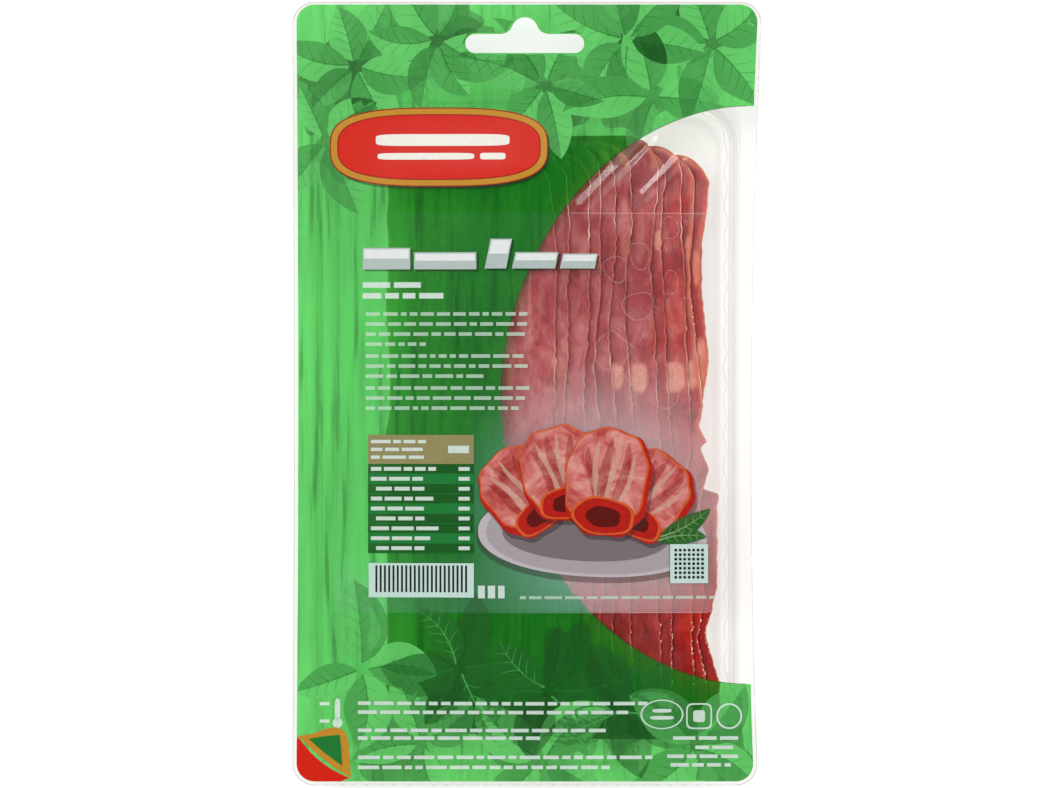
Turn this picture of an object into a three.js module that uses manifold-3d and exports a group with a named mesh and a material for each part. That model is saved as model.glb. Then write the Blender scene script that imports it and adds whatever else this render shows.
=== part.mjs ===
// A flat retail pack of sliced bacon: a clear thermoformed tray, a printed film sealed over it, a clear
// label on the film, and a fan of bacon slices sealed inside. Millimetres. X runs across the pack, Y towards
// the hang slot and Z up. The origin is the middle of the pack's outline, on the surface that the tray's
// floor rests on.

import * as THREE from "three";
import { mergeVertices } from "three/addons/utils/BufferGeometryUtils.js";
import Module from "manifold-3d";

const wasm = await Module();
wasm.setup();

// Driving dimensions of the pack
const packWidth = 126;
const packLength = 211;
const packCorner = 6;
const sideBowRight = 2.35; // how far each long side bows in at its middle
const sideBowLeft = 0.5;
const sideTiltRight = 0.6; // the right side also leans in by this much at the lower end

// The tray
const trayHeight = 16; // floor to flange top
const traySheet = 0.6;
const floorHalfWidth = 52.9;
const floorTop = 74.9;
const floorBottom = -96.2;
const floorCorner = 8;
const floorRound = 2.4; // the floor turns up into the wall over this width
const ledgeDrop = 1.2; // a narrow step runs round the mouth, just below the flange
const wallLean = 2; // how far the wall leans out on its way up
const stepOut = 3.3; // from the floor line to the edge of the flange
const stepRise = 0.3; // how far the step's own small wall leans out

// The film and the label
const filmSheet = 0.3;
const gap = 0.3; // clearance between neighbouring pieces
const filmCrown = 2.8; // the stack of slices lifts the film this far at its ridge
const labelGap = 0.55; // clearance between the film and the label
const labelHalfWidth = 52;
const labelTop = 48.6;
const labelBottom = -59;
const labelCorner = 4;
const crownPeak = 5; // the film is highest along this line
const crownEase = 18; // the crown rises over this length at both ends

// The hang slot: a straight bar with round ends and a hump in the middle of its upper edge
const slotX = -0.4;
const slotBottom = 91.7;
const slotBarWidth = 32;
const slotBarHeight = 5.1;
const humpRadius = 3.6;
const humpTop = 101.3;
const humpFoot = 6.6; // half the width where the hump meets the bar
const humpLean = 0.36; // angle above level at which the fillet leaves the hump, in radians

// The slices, fanned from the right, lowest first: each is laid a step to the left of the one below
const sliceThickness = 1.18;
const slicePitch = 1.5; // one slice and the clearance above it
const ridgeX = 1; // left edge of the lowest slice, where the whole stack lies above itself
const leftStep = 3.9;
const rightEdges = [49.2, 45.7, 43, 37.6, 34.9, 27.9, 23.6, 19.6, 16.6, 11, 7.5];
const sliceTop = 69.3;
const sliceBottom = -93.6;
const lowestSliceShorter = 4.3; // the lowest slice ends this much sooner at the top
const shorterSlices = 3.5; // the slices above this many reach the full height
const fullSlices = 4; // from this slice on, the upper ends fall back towards the left
const topSliceShorter = 5; // the last slice ends this much sooner at the top
const topSliceHigher = 2.4; // and this much sooner at the foot
const sliceCorner = 7;
const edgeWander = 0.9; // unevenness of a slice's long edges
const endWander = 0.8; // unevenness of where its ends come
const lowerShift = 2.2; // the lower half of the fan lies this much further right
const wallLift = 5.5; // the slices curl up this far towards the right wall
const rippleHeight = 0.7;
const rippleLength = 46;
const endTaper = 0.07; // share of the stack's height lost at the ends
const cellWidth = 12; // widest cell of a slice's net

// Colours
const clearPlastic = { color: 0xf2f4f3, roughness: 0.12, transparent: true, opacity: 0.35 };
const printedFilm = { color: 0x62c86a, roughness: 0.22 };
const labelFilm = { color: 0xdfe9df, roughness: 0.2, transparent: true, opacity: 0.5 };
const curedMeat = { color: 0xb4585a, roughness: 0.35 };

// Rounded outlines seen from above. bow is the share of the long sides' inward bow that an outline takes.
const packOutline = {
  half: packWidth / 2,
  top: packLength / 2,
  bottom: -packLength / 2,
  corner: packCorner,
  bow: 1,
};
const floorOutline = {
  half: floorHalfWidth,
  top: floorTop,
  bottom: floorBottom,
  corner: floorCorner,
  bow: 0.25,
};
const labelOutline = {
  half: labelHalfWidth,
  top: labelTop,
  bottom: labelBottom,
  corner: labelCorner,
  bow: 0,
};
const endSegments = 4;
const sideSegments = 8;
const cornerSegments = 4;

// The outline pushed out all round
function grown(outline, grow) {
  return {
    ...outline,
    half: outline.half + grow,
    top: outline.top + grow,
    bottom: outline.bottom - grow,
    corner: outline.corner + grow,
  };
}

// The long sides bow inwards as a parabola between the pack's two ends. The shift fades towards the
// centre line.
function bowAt(outline, x, y) {
  const along = y / (packLength / 2);
  const arch = 1 - along * along;
  const inwards = x > 0 ? -sideBowRight * arch + sideTiltRight * along : sideBowLeft * arch;
  const reach = Math.min(1, Math.abs(x) / outline.half);
  return outline.bow * inwards * reach;
}

// Points round an outline, anticlockwise, the same count whatever its size. height is a number or a
// function of x and y.
function ring(outline, height) {
  const { half, top, bottom, corner } = outline;
  const points = [];
  const add = (x, y) => {
    const px = x + bowAt(outline, x, y);
    points.push(new THREE.Vector3(px, y, typeof height === "function" ? height(px, y) : height));
  };
  const side = (x0, y0, x1, y1, segments) => {
    for (let i = 0; i < segments; i++) {
      const share = i / segments;
      add(x0 + (x1 - x0) * share, y0 + (y1 - y0) * share);
    }
  };
  const arc = (cx, cy, from) => {
    for (let i = 0; i < cornerSegments; i++) {
      const angle = from + (Math.PI / 2) * (i / cornerSegments);
      add(cx + corner * Math.cos(angle), cy + corner * Math.sin(angle));
    }
  };
  side(half, bottom + corner, half, top - corner, sideSegments);
  arc(half - corner, top - corner, 0);
  side(half - corner, top, -half + corner, top, endSegments);
  arc(-half + corner, top - corner, Math.PI / 2);
  side(-half, top - corner, -half, bottom + corner, sideSegments);
  arc(-half + corner, bottom + corner, Math.PI);
  side(-half + corner, bottom, half - corner, bottom, endSegments);
  arc(half - corner, bottom + corner, -Math.PI / 2);
  return points;
}

function geometryFrom(points, triangles) {
  const geometry = new THREE.BufferGeometry();
  const numbers = points.flatMap((point) => [point.x, point.y, point.z]);
  geometry.setAttribute("position", new THREE.Float32BufferAttribute(numbers, 3));
  geometry.setIndex(triangles);
  return geometry;
}

// A closed skin through a chain of rings, with a fan over the first and the last one.
function skinThrough(rings, firstCentre, lastCentre) {
  const count = rings[0].length;
  const points = rings.flat();
  const triangles = [];
  for (let r = 0; r + 1 < rings.length; r++) {
    for (let i = 0; i < count; i++) {
      const j = (i + 1) % count;
      const a = r * count + i;
      const b = r * count + j;
      triangles.push(a, a + count, b, b, a + count, b + count);
    }
  }
  const first = points.push(firstCentre) - 1;
  const last = points.push(lastCentre) - 1;
  const end = (rings.length - 1) * count;
  for (let i = 0; i < count; i++) {
    const j = (i + 1) % count;
    triangles.push(first, i, j);
    triangles.push(last, end + j, end + i);
  }
  return geometryFrom(points, triangles);
}

function toSolid(geometry) {
  const bare = geometry.clone();
  bare.deleteAttribute("normal");
  bare.deleteAttribute("uv");
  const merged = mergeVertices(bare, 1e-5);
  const vertProperties = new Float32Array(merged.attributes.position.array);
  const triVerts = new Uint32Array(merged.index.array);
  return new wasm.Manifold(new wasm.Mesh({ numProp: 3, vertProperties, triVerts }));
}

function toGeometry(solid) {
  const mesh = solid.getMesh();
  const geometry = new THREE.BufferGeometry();
  geometry.setAttribute("position", new THREE.BufferAttribute(new Float32Array(mesh.vertProperties), 3));
  geometry.setIndex(new THREE.BufferAttribute(new Uint32Array(mesh.triVerts), 1));
  return geometry;
}

function namedMesh(name, geometry, look) {
  geometry.computeVertexNormals();
  const mesh = new THREE.Mesh(geometry, new THREE.MeshStandardMaterial({ metalness: 0, ...look }));
  mesh.name = name;
  return mesh;
}

// The hang slot as a block that reaches through the flange and the film
function slotCutter() {
  const endRadius = slotBarHeight / 2;
  const straight = slotBarWidth / 2 - endRadius;
  const barTop = slotBottom + slotBarHeight;
  const humpCentre = humpTop - humpRadius;
  const humpX = humpRadius * Math.cos(humpLean);
  const humpY = humpCentre + humpRadius * Math.sin(humpLean);
  const shape = new THREE.Shape();
  shape.moveTo(-straight, slotBottom);
  shape.lineTo(straight, slotBottom);
  shape.absarc(straight, slotBottom + endRadius, endRadius, -Math.PI / 2, Math.PI / 2, false);
  shape.lineTo(humpFoot, barTop);
  shape.quadraticCurveTo(humpX + 0.6, barTop + 0.2, humpX, humpY);
  shape.absarc(0, humpCentre, humpRadius, humpLean, Math.PI - humpLean, false);
  shape.quadraticCurveTo(-humpX - 0.6, barTop + 0.2, -humpFoot, barTop);
  shape.lineTo(-straight, barTop);
  shape.absarc(-straight, slotBottom + endRadius, endRadius, Math.PI / 2, (3 * Math.PI) / 2, false);
  const cutSettings = { depth: trayHeight, bevelEnabled: false, curveSegments: 8 };
  const block = new THREE.ExtrudeGeometry(shape, cutSettings);
  block.translate(slotX, 0, trayHeight / 2);
  return toSolid(block);
}

const slotBlock = slotCutter();

// The tray: each station of its wall is an outline grown from the floor line, at its own height.
function tray() {
  const ledge = trayHeight - ledgeDrop;
  const inside = [
    [-floorRound, traySheet],
    [-0.4 * floorRound, traySheet + 0.2 * floorRound],
    [0, traySheet + 0.8 * floorRound],
    [wallLean, ledge],
    [stepOut - stepRise, ledge],
    [stepOut, trayHeight],
  ];
  const under = [
    [stepOut + traySheet, trayHeight - traySheet],
    [stepOut - stepRise + traySheet, ledge - traySheet],
    [wallLean + 0.85 * traySheet, ledge - traySheet],
    [traySheet, 0.9 * floorRound],
    [-0.25 * floorRound, 0.5 * traySheet],
    [-floorRound, 0],
  ];
  const rings = [
    ...inside.map(([grow, z]) => ring(grown(floorOutline, grow), z)),
    ring(packOutline, trayHeight),
    ring(packOutline, trayHeight - traySheet),
    ...under.map(([grow, z]) => ring(grown(floorOutline, grow), z)),
  ];
  const middle = (floorTop + floorBottom) / 2;
  const centres = [traySheet, 0].map((z) => new THREE.Vector3(0, middle, z));
  const shell = skinThrough(rings, ...centres);
  return namedMesh("tray", toGeometry(toSolid(shell).subtract(slotBlock)), clearPlastic);
}

function smoothStep(t) {
  const s = Math.min(1, Math.max(0, t));
  return s * s * (3 - 2 * s);
}

// Height of the film's underside: flat on the flange, crowned over the ridge of the stack.
function filmHeight(x, y) {
  const mouth = floorHalfWidth + wallLean;
  const across = x < crownPeak ? (x + mouth) / (mouth + crownPeak) : (mouth - x) / (mouth - crownPeak);
  const fromEnd = Math.min(floorTop + wallLean - y, y - floorBottom + wallLean);
  return trayHeight + gap + filmCrown * smoothStep(across) * smoothStep(fromEnd / crownEase);
}

// A thin sheet that follows the film's height: rings from a small middle one to the rim, then back
// underneath.
function drapedSheet(outlines, lift, thickness) {
  const above = (x, y) => filmHeight(x, y) + lift + thickness;
  const below = (x, y) => filmHeight(x, y) + lift;
  const upper = outlines.map((outline) => ring(outline, above));
  const lower = outlines.map((outline) => ring(outline, below)).reverse();
  const y = (outlines[0].top + outlines[0].bottom) / 2;
  const top = new THREE.Vector3(0, y, above(0, y));
  const bottom = new THREE.Vector3(0, y, below(0, y));
  return skinThrough([...upper, ...lower], top, bottom);
}

// The outline shrunk in steps towards its middle, for the inner rings of a draped sheet
function innerOutlines(outline) {
  const steps = [-48, -41, -34, -27, -20, -14, -8, -4, 0];
  return steps.map((grow) => ({ ...grown(outline, grow), corner: Math.max(outline.corner + grow, 2) }));
}

function film() {
  const outlines = [...innerOutlines(floorOutline), grown(floorOutline, stepOut), packOutline];
  const sheet = drapedSheet(outlines, 0, filmSheet);
  return namedMesh("lid_film", toGeometry(toSolid(sheet).subtract(slotBlock)), printedFilm);
}

function label() {
  const sheet = drapedSheet(innerOutlines(labelOutline), filmSheet + labelGap, filmSheet);
  return namedMesh("label", sheet, labelFilm);
}

// How far the left edge of slice k lies from the ridge
function leftEdge(k) {
  return ridgeX - k * leftStep;
}

// Uneven long edge of slice k, with the lower half of the fan shifted to the right
function rightEdge(k, y) {
  const share = 1 - k / rightEdges.length;
  const waves = Math.sin(y / 13 + 2.3 * k) + 0.5 * Math.sin(y / 6.5 + 4.1 * k);
  return rightEdges[k] + edgeWander * waves + share * lowerShift * smoothStep((15 - y) / 50);
}

// Height of the underside of slice k: it climbs over the left edges of those below it, then lies on
// them all.
function sliceHeight(k, x, y) {
  const along = (y - sliceBottom) / (sliceTop - sliceBottom);
  const taper = 1 - endTaper * Math.pow(Math.abs(2 * along - 1), 4);
  const below = Math.min(k, Math.max(0, (x - leftEdge(k)) / leftStep));
  const towardsWall = Math.max(0, x - ridgeX) / (rightEdges[0] - ridgeX);
  const lift = wallLift * Math.pow(towardsWall, 1.6);
  const fromLeft = smoothStep((x - leftEdge(rightEdges.length - 1)) / 40);
  const ripple = 0.5 * rippleHeight * (1 + Math.sin((2 * Math.PI * y) / rippleLength + x / 24)) * fromLeft;
  return traySheet + gap + taper * slicePitch * below + lift + ripple * taper;
}

// All slices have their inner rows at the same places, so that one nests in the next.
const sharedLow = sliceBottom + sliceCorner + 1;
const sharedHigh = sliceTop - lowestSliceShorter - sliceCorner - 1;
const sharedCells = 11;
const sharedRows = [];
for (let i = 0; i <= sharedCells; i++) {
  sharedRows.push(sharedLow + ((sharedHigh - sharedLow) * i) / sharedCells);
}

// A slice: rows run across it, with the corners of both ends rounded off.
function slice(k) {
  const last = rightEdges.length - 1;
  const lowShare = Math.sqrt(Math.max(0, 1 - k / shorterSlices));
  const highShare = Math.pow(Math.max(0, k - fullSlices) / (last - fullSlices), 1.3);
  const shorter = lowestSliceShorter * lowShare + topSliceShorter * highShare;
  const top = sliceTop - shorter + endWander * Math.sin(3.7 * k);
  const bottom = sliceBottom + (topSliceHigher * k) / last + endWander * Math.sin(2.9 * k + 1);
  const insets = [0, 0.2, 0.55].map((share) => share * sliceCorner);
  const lowRows = insets.map((inset) => bottom + inset);
  const highRows = insets.map((inset) => top - inset).reverse();
  const rowPlaces = [...lowRows, ...sharedRows, ...highRows];
  const leftCells = k === 0 ? 0 : Math.ceil((k * leftStep) / cellWidth);
  const rightCells = Math.ceil((rightEdges[k] - ridgeX) / cellWidth);
  const columns = leftCells + rightCells + 1;
  const points = [];
  for (const layer of [sliceThickness, 0]) {
    for (const y of rowPlaces) {
      const toEnd = Math.max(0, sliceCorner - Math.min(y - bottom, top - y));
      const pull = sliceCorner - Math.sqrt(sliceCorner * sliceCorner - toEnd * toEnd);
      const right = rightEdge(k, y) - pull;
      const ridge = Math.min(ridgeX, right - 1);
      const left = k === 0 ? ridge : Math.min(leftEdge(k) + pull, ridge - 0.5);
      for (let c = 0; c < columns; c++) {
        const onLeft = c < leftCells;
        const x = onLeft
          ? left + ((ridge - left) * c) / leftCells
          : ridge + ((right - ridge) * (c - leftCells)) / rightCells;
        points.push(new THREE.Vector3(x, y, sliceHeight(k, x, y) + layer));
      }
    }
  }
  const rows = rowPlaces.length;
  const under = rows * columns;
  const triangles = [];
  for (let r = 0; r + 1 < rows; r++) {
    for (let c = 0; c + 1 < columns; c++) {
      const a = r * columns + c;
      const b = a + columns;
      triangles.push(a, a + 1, b + 1, a, b + 1, b);
      triangles.push(under + a, under + b + 1, under + a + 1, under + a, under + b, under + b + 1);
    }
  }
  const rim = [];
  for (let c = 0; c + 1 < columns; c++) rim.push(c);
  for (let r = 0; r + 1 < rows; r++) rim.push(r * columns + columns - 1);
  for (let c = columns - 1; c > 0; c--) rim.push((rows - 1) * columns + c);
  for (let r = rows - 1; r > 0; r--) rim.push(r * columns);
  for (let i = 0; i < rim.length; i++) {
    const a = rim[i];
    const b = rim[(i + 1) % rim.length];
    triangles.push(a, under + a, b, b, under + a, under + b);
  }
  const number = String(k + 1).padStart(2, "0");
  return namedMesh(`bacon_slice_${number}`, geometryFrom(points, triangles), curedMeat);
}

const pack = new THREE.Group();
pack.add(tray(), film(), label());
rightEdges.forEach((_, k) => pack.add(slice(k)));

export default pack;
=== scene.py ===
# A flat retail pack of sliced bacon. It lies on its clear tray with the printed film up, and the camera
# looks straight down on it. Shapes are worked out in millimetres and become metres when a mesh is made.
import math

import bpy
import numpy as np
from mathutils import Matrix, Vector
from mathutils.geometry import delaunay_2d_cdt


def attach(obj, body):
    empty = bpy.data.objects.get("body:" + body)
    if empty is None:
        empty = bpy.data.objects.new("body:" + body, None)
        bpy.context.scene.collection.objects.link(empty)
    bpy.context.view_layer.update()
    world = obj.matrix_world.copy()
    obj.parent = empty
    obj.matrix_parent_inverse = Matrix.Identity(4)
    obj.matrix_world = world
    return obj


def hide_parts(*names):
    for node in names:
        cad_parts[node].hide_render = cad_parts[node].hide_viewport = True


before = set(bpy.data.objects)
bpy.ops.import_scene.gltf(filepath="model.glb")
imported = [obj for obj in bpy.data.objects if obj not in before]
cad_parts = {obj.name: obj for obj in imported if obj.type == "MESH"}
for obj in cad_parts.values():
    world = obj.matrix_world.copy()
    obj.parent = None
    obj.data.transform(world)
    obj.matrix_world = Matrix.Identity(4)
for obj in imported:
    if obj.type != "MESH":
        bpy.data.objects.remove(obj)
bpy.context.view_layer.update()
mm = 0.001

# Main sizes, the same as in the frame

pack = {
    "half": 63.0,
    "end": 105.5,
    "corner": 6.0,
    "bowRight": 2.35,       # how far the right side bows in at its middle
    "bowLeft": 0.5,
    "tiltRight": 0.6,
}
tray = {
    "height": 16.0,
    "sheet": 0.6,
    "half": 52.9,           # outline of the floor
    "top": 74.9,
    "bottom": -96.2,
    "corner": 8.0,
    "bowShare": 0.25,
    "ledge": 14.8,          # height of the narrow step round the mouth
    "wallLean": 2.0,
    "stepOut": 3.3,
    "floorRound": 2.4,
    "stepRound": 0.35,
    "sealInside": 1.15,     # the wavy edge of the seal, outside the floor's outline
}
film = {
    "lift": 16.3,           # underside on the flange
    "cadSheet": 0.3,
    "sheet": 0.1,
    "crown": 2.8,
    "peak": 5.0,
    "mouth": 54.9,
    "spacing": 1.5,
    # rimLine is the width of the painted shade along the film's cut edge
    "rimLine": 0.35,        # width of the darker cut edge
    "swells": ((0.07, 3, 34), (0.03, 8, 13)),  # height, seed and length of the gentle unevenness
    "printInset": 1.1,      # clear border outside the print
    "printTop": 0.75,       # the same at the upper end
    "windowCentre": (59.2, -0.4),
    "windowSize": (66.0, 77.8),
    "windowPower": 1.9,
}
label = {
    "half": 52.0,
    "top": 48.6,
    "bottom": -59.0,
    "corner": 4.0,
    "gap": 0.15,
    "sheet": 0.1,
    "spacing": 1.6,
}


# Colours and nodes

def colour(code, alpha=1.0):
    # sRGB hex to linear
    parts = [int(code[i:i + 2], 16) / 255 for i in (1, 3, 5)]
    return [c / 12.92 if c <= 0.04045 else ((c + 0.055) / 1.055) ** 2.4 for c in parts] + [alpha]


def addNode(tree, kind, settings=None, links=None):
    # a key that names or numbers an input sets that input, any other key sets the node itself
    node = tree.nodes.new(kind)
    for key, value in (settings or {}).items():
        if isinstance(key, int) or key in node.inputs:
            node.inputs[key].default_value = value
        elif key == "ramp":
            stops = node.color_ramp.elements
            while len(stops) < len(value):
                stops.new(0.5)
            for stop, (place, shade) in zip(stops, value):
                stop.position = place
                stop.color = shade if isinstance(shade, list) else [shade, shade, shade, 1]
        else:
            setattr(node, key, value)
    for key, socket in (links or {}).items():
        tree.links.new(socket, node.inputs[key])
    return node


def newMaterial(name):
    material = bpy.data.materials.new(name)
    material.use_nodes = True
    tree = material.node_tree
    tree.nodes.clear()
    return material, tree, tree.nodes.new("ShaderNodeOutputMaterial")


# Height functions, all in millimetres

def smoothStep(t):
    # 0 below 0, 1 above 1 and a soft S between
    s = np.clip(t, 0, 1)
    return s * s * (3 - 2 * s)


def waves(x, y, seed, size):
    # a smooth uneven field between about -1 and 1: five plane waves of different headings and lengths
    draw = np.random.default_rng(seed)
    total = 0
    for i in range(5):
        heading = draw.uniform(0, 2 * math.pi)
        length = size * draw.uniform(0.6, 1.6)
        phase = draw.uniform(0, 2 * math.pi)
        along = x * math.cos(heading) + y * math.sin(heading)
        total = total + np.sin(2 * math.pi * along / length + phase)
    return total / 3.2


def wavesAlong(y, seed, size):
    # the same field for places that differ along the pack alone
    return waves(y, y * 0, seed, size)


def apart(points, others):
    # distance from every point to every other place
    return np.hypot(points[:, :1] - others[:, 0], points[:, 1:] - others[:, 1])


creases = [
    # start, end, half width and height of the folds that catch the light in the film
    ((13.0, 48.0), (36.0, 71.5), 3.5, 0.54),
    ((29.5, 50.5), (44.0, 65.5), 3.0, 0.46),
    ((53.5, 104.3), (61.8, 98.0), 1.1, 0.17),
    ((-61.0, -83.0), (-56.0, -91.5), 1.1, 0.17),
]


def softRamp(share):
    # a straight ramp from 0 to 1 with rounded ends
    soft = 0.3
    start = share ** 2 / (2 * soft)
    middle = share - soft / 2
    end = 1 - soft - (1 - share) ** 2 / (2 * soft)
    return np.where(share < soft, start, np.where(share > 1 - soft, end, middle)) / (1 - soft)


def filmRelief(x, y):
    # gentle unevenness of the stretched film, plus a ridge along each crease: it rises evenly on the side of
    # the key light and falls faster on the other
    inner = smoothStep((54 - np.abs(x)) / 12) * smoothStep((76 - y) / 12) * smoothStep((y + 96) / 12)
    relief = 0
    for height, seed, size in film["swells"]:
        relief = relief + height * waves(x, y, seed, size) * inner
    for (ax, ay), (bx, by), width, height in creases:
        length = math.hypot(bx - ax, by - ay)
        along = ((x - ax) * (bx - ax) + (y - ay) * (by - ay)) / length
        across = ((x - ax) * (by - ay) - (y - ay) * (bx - ax)) / length
        ends = smoothStep(along / 4) * smoothStep((length - along) / 4)
        rise = softRamp(np.clip(across / width + 1, 0, 1))
        fall = smoothStep(1 - across / (0.7 * width))
        relief = relief + height * np.where(across < 0, rise, fall) * ends
    return relief


def filmTop(x, y):
    # flat on the flange, crowned over the ridge of the stack
    mouth, peak = film["mouth"], film["peak"]
    across = np.where(x < peak, (x + mouth) / (mouth + peak), (mouth - x) / (mouth - peak))
    fromEnd = np.minimum(tray["top"] + tray["wallLean"] - y, y - tray["bottom"] + tray["wallLean"])
    crown = film["crown"] * smoothStep(across) * smoothStep(fromEnd / 18)
    return film["lift"] + film["cadSheet"] + crown + filmRelief(x, y)


def veilAt(x, y):
    # change of the film's haze: more in a patch at the upper left of the window, hardly any on the wet foot
    patch = 1.4 * np.exp(-((x - 30) / 8) ** 2 - ((y - 60) / 7) ** 2)
    wet = 0.95 * smoothStep((-57 - y) / 5) * smoothStep((x - 30) / 14)
    return patch - wet


def labelTop(x, y):
    return filmTop(x, y) + label["gap"] + label["sheet"]


# Outlines and sheets

def bowAt(x, y, half):
    # the long sides bow inwards as a parabola between the two ends, fading towards the centre line
    along = y / pack["end"]
    arch = 1 - along * along
    inwards = np.where(x > 0, -pack["bowRight"] * arch + pack["tiltRight"] * along, pack["bowLeft"] * arch)
    return inwards * np.minimum(1, np.abs(x) / half)


def ring(half, top, bottom, corner, bowShare):
    # a rounded rectangle walked anticlockwise from the lower end of its right side
    side = np.linspace(0, 1, 64, endpoint=False)
    end = np.linspace(0, 1, 32, endpoint=False)
    turn = np.linspace(0, math.pi / 2, 12, endpoint=False)
    xs, ys = [], []
    tall = top - bottom - 2 * corner
    wide = 2 * (half - corner)
    corners = [(half - corner, top - corner), (corner - half, top - corner),
               (corner - half, bottom + corner), (half - corner, bottom + corner)]
    starts = [(half, bottom + corner, 0, tall, side), (half - corner, top, -wide, 0, end),
              (-half, top - corner, 0, -tall, side), (corner - half, bottom, wide, 0, end)]
    for i, (x0, y0, dx, dy, steps) in enumerate(starts):
        angle = turn + i * math.pi / 2
        xs += [x0 + dx * steps, corners[i][0] + corner * np.cos(angle)]
        ys += [y0 + dy * steps, corners[i][1] + corner * np.sin(angle)]
    x, y = np.concatenate(xs), np.concatenate(ys)
    return np.column_stack([x + bowShare * bowAt(x, y, half), y])


def packRing(grow=0.0):
    end = pack["end"] + grow
    return ring(pack["half"] + grow, end, -end, pack["corner"] + grow, 1.0)


def printRing():
    # the border of the print, a little nearer to the pack's upper end than to its sides
    inset = film["printInset"]
    return ring(pack["half"] - inset, pack["end"] - film["printTop"], inset - pack["end"],
                pack["corner"] - inset, 1.0)


def floorRing(grow):
    return ring(tray["half"] + grow, tray["top"] + grow, tray["bottom"] - grow, tray["corner"] + grow,
                tray["bowShare"])


hangSlot = {
    "x": -0.4,
    "bottom": 91.7,
    "width": 32.0,
    "height": 5.1,
    "humpRadius": 3.6,
    "humpTop": 101.3,
    "humpFoot": 6.6,
    "lean": 0.36,
}


def slotLoop(grow=0.0):
    # a bar with round ends, and a hump with small fillets in the middle of its upper edge
    s = hangSlot
    r = s["height"] / 2 + grow
    straight = s["width"] / 2 - s["height"] / 2
    middle = s["bottom"] + s["height"] / 2
    barTop = middle + r
    humpY = s["humpTop"] - s["humpRadius"]
    hump = s["humpRadius"] + grow
    turn = np.linspace(-math.pi / 2, math.pi / 2, 13)
    right = np.column_stack([straight + r * np.cos(turn), middle + r * np.sin(turn)])
    top = np.array([hump * math.cos(s["lean"]), humpY + hump * math.sin(s["lean"])])
    foot = np.array([s["humpFoot"] + grow, barTop])
    bend = np.array([top[0] + 0.6, barTop + 0.2])
    t = np.linspace(0, 1, 7)[:, None]
    fillet = (1 - t) ** 2 * foot + 2 * t * (1 - t) * bend + t * t * top
    over = np.linspace(s["lean"], math.pi - s["lean"], 19)[1:-1]
    dome = np.column_stack([hump * np.cos(over), humpY + hump * np.sin(over)])
    mirrored = np.vstack([right, fillet])[::-1] * [-1, 1]
    return np.vstack([right, fillet, dome, mirrored]) + [s["x"], 0]


def insideLoop(points, loop):
    # even-odd rule, every point against every edge at once
    x, y = points[:, :1], points[:, 1:]
    ax, ay = loop[:, 0], loop[:, 1]
    bx, by = np.roll(ax, -1), np.roll(ay, -1)
    crossing = (ay > y) != (by > y)
    rise = np.where(by == ay, 1e-9, by - ay)
    at = ax + (y - ay) * (bx - ax) / rise
    return np.sum(crossing & (x < at), axis=1) % 2 == 1


def triangulate(loops, marks, spacing, dots=None):
    # fills loops[0] less the other loops with an even triangle net, and keeps the edges of every loop and
    # mark; dots are points that the net has to meet
    chains = [*loops, *marks]
    rims = np.vstack(chains if dots is None else [*chains, dots])
    low, high = loops[0].min(0), loops[0].max(0)
    gx, gy = np.meshgrid(np.arange(low[0], high[0], spacing), np.arange(low[1], high[1], spacing * 0.866))
    gx[1::2] += spacing / 2
    net = np.column_stack([gx.ravel(), gy.ravel()])
    parts = []
    for part in np.array_split(net, 24):
        keep = insideLoop(part, loops[0]) & (apart(part, rims).min(1) > 0.5 * spacing)
        for hole in loops[1:]:
            keep &= ~insideLoop(part, hole)
        parts.append(part[keep])
    points = np.vstack([rims, *parts])
    edges, start = [], 0
    for chain in chains:
        step = np.arange(len(chain))
        edges.append(np.column_stack([start + step, start + (step + 1) % len(chain)]))
        start += len(chain)
    made = delaunay_2d_cdt([Vector(p) for p in points.tolist()], np.vstack(edges).tolist(), [], 0, 1e-6)
    flat = np.array([tuple(p) for p in made[0]])
    faces = np.array(made[2])
    centre = flat[faces].mean(1)
    good = insideLoop(centre, loops[0])
    for hole in loops[1:]:
        good &= ~insideLoop(centre, hole)
    faces = faces[good]
    a, b, c = (flat[faces[:, i]] for i in range(3))
    turned = (b[:, 0] - a[:, 0]) * (c[:, 1] - a[:, 1]) < (b[:, 1] - a[:, 1]) * (c[:, 0] - a[:, 0])
    faces[turned] = faces[turned][:, ::-1]
    return flat, faces


def gridFaces(rows, columns, wrapColumns=False):
    # quads of a grid of points numbered row by row
    r = np.arange(rows - 1)[:, None]
    c = np.arange(columns if wrapColumns else columns - 1)[None, :]
    c2 = (c + 1) % columns
    quads = [r * columns + c, r * columns + c2, (r + 1) * columns + c2, (r + 1) * columns + c]
    return np.stack([q.ravel() for q in np.broadcast_arrays(*quads)], axis=1)


def addObject(name, data):
    made = bpy.data.objects.new(name, data)
    bpy.context.scene.collection.objects.link(made)
    return made


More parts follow.
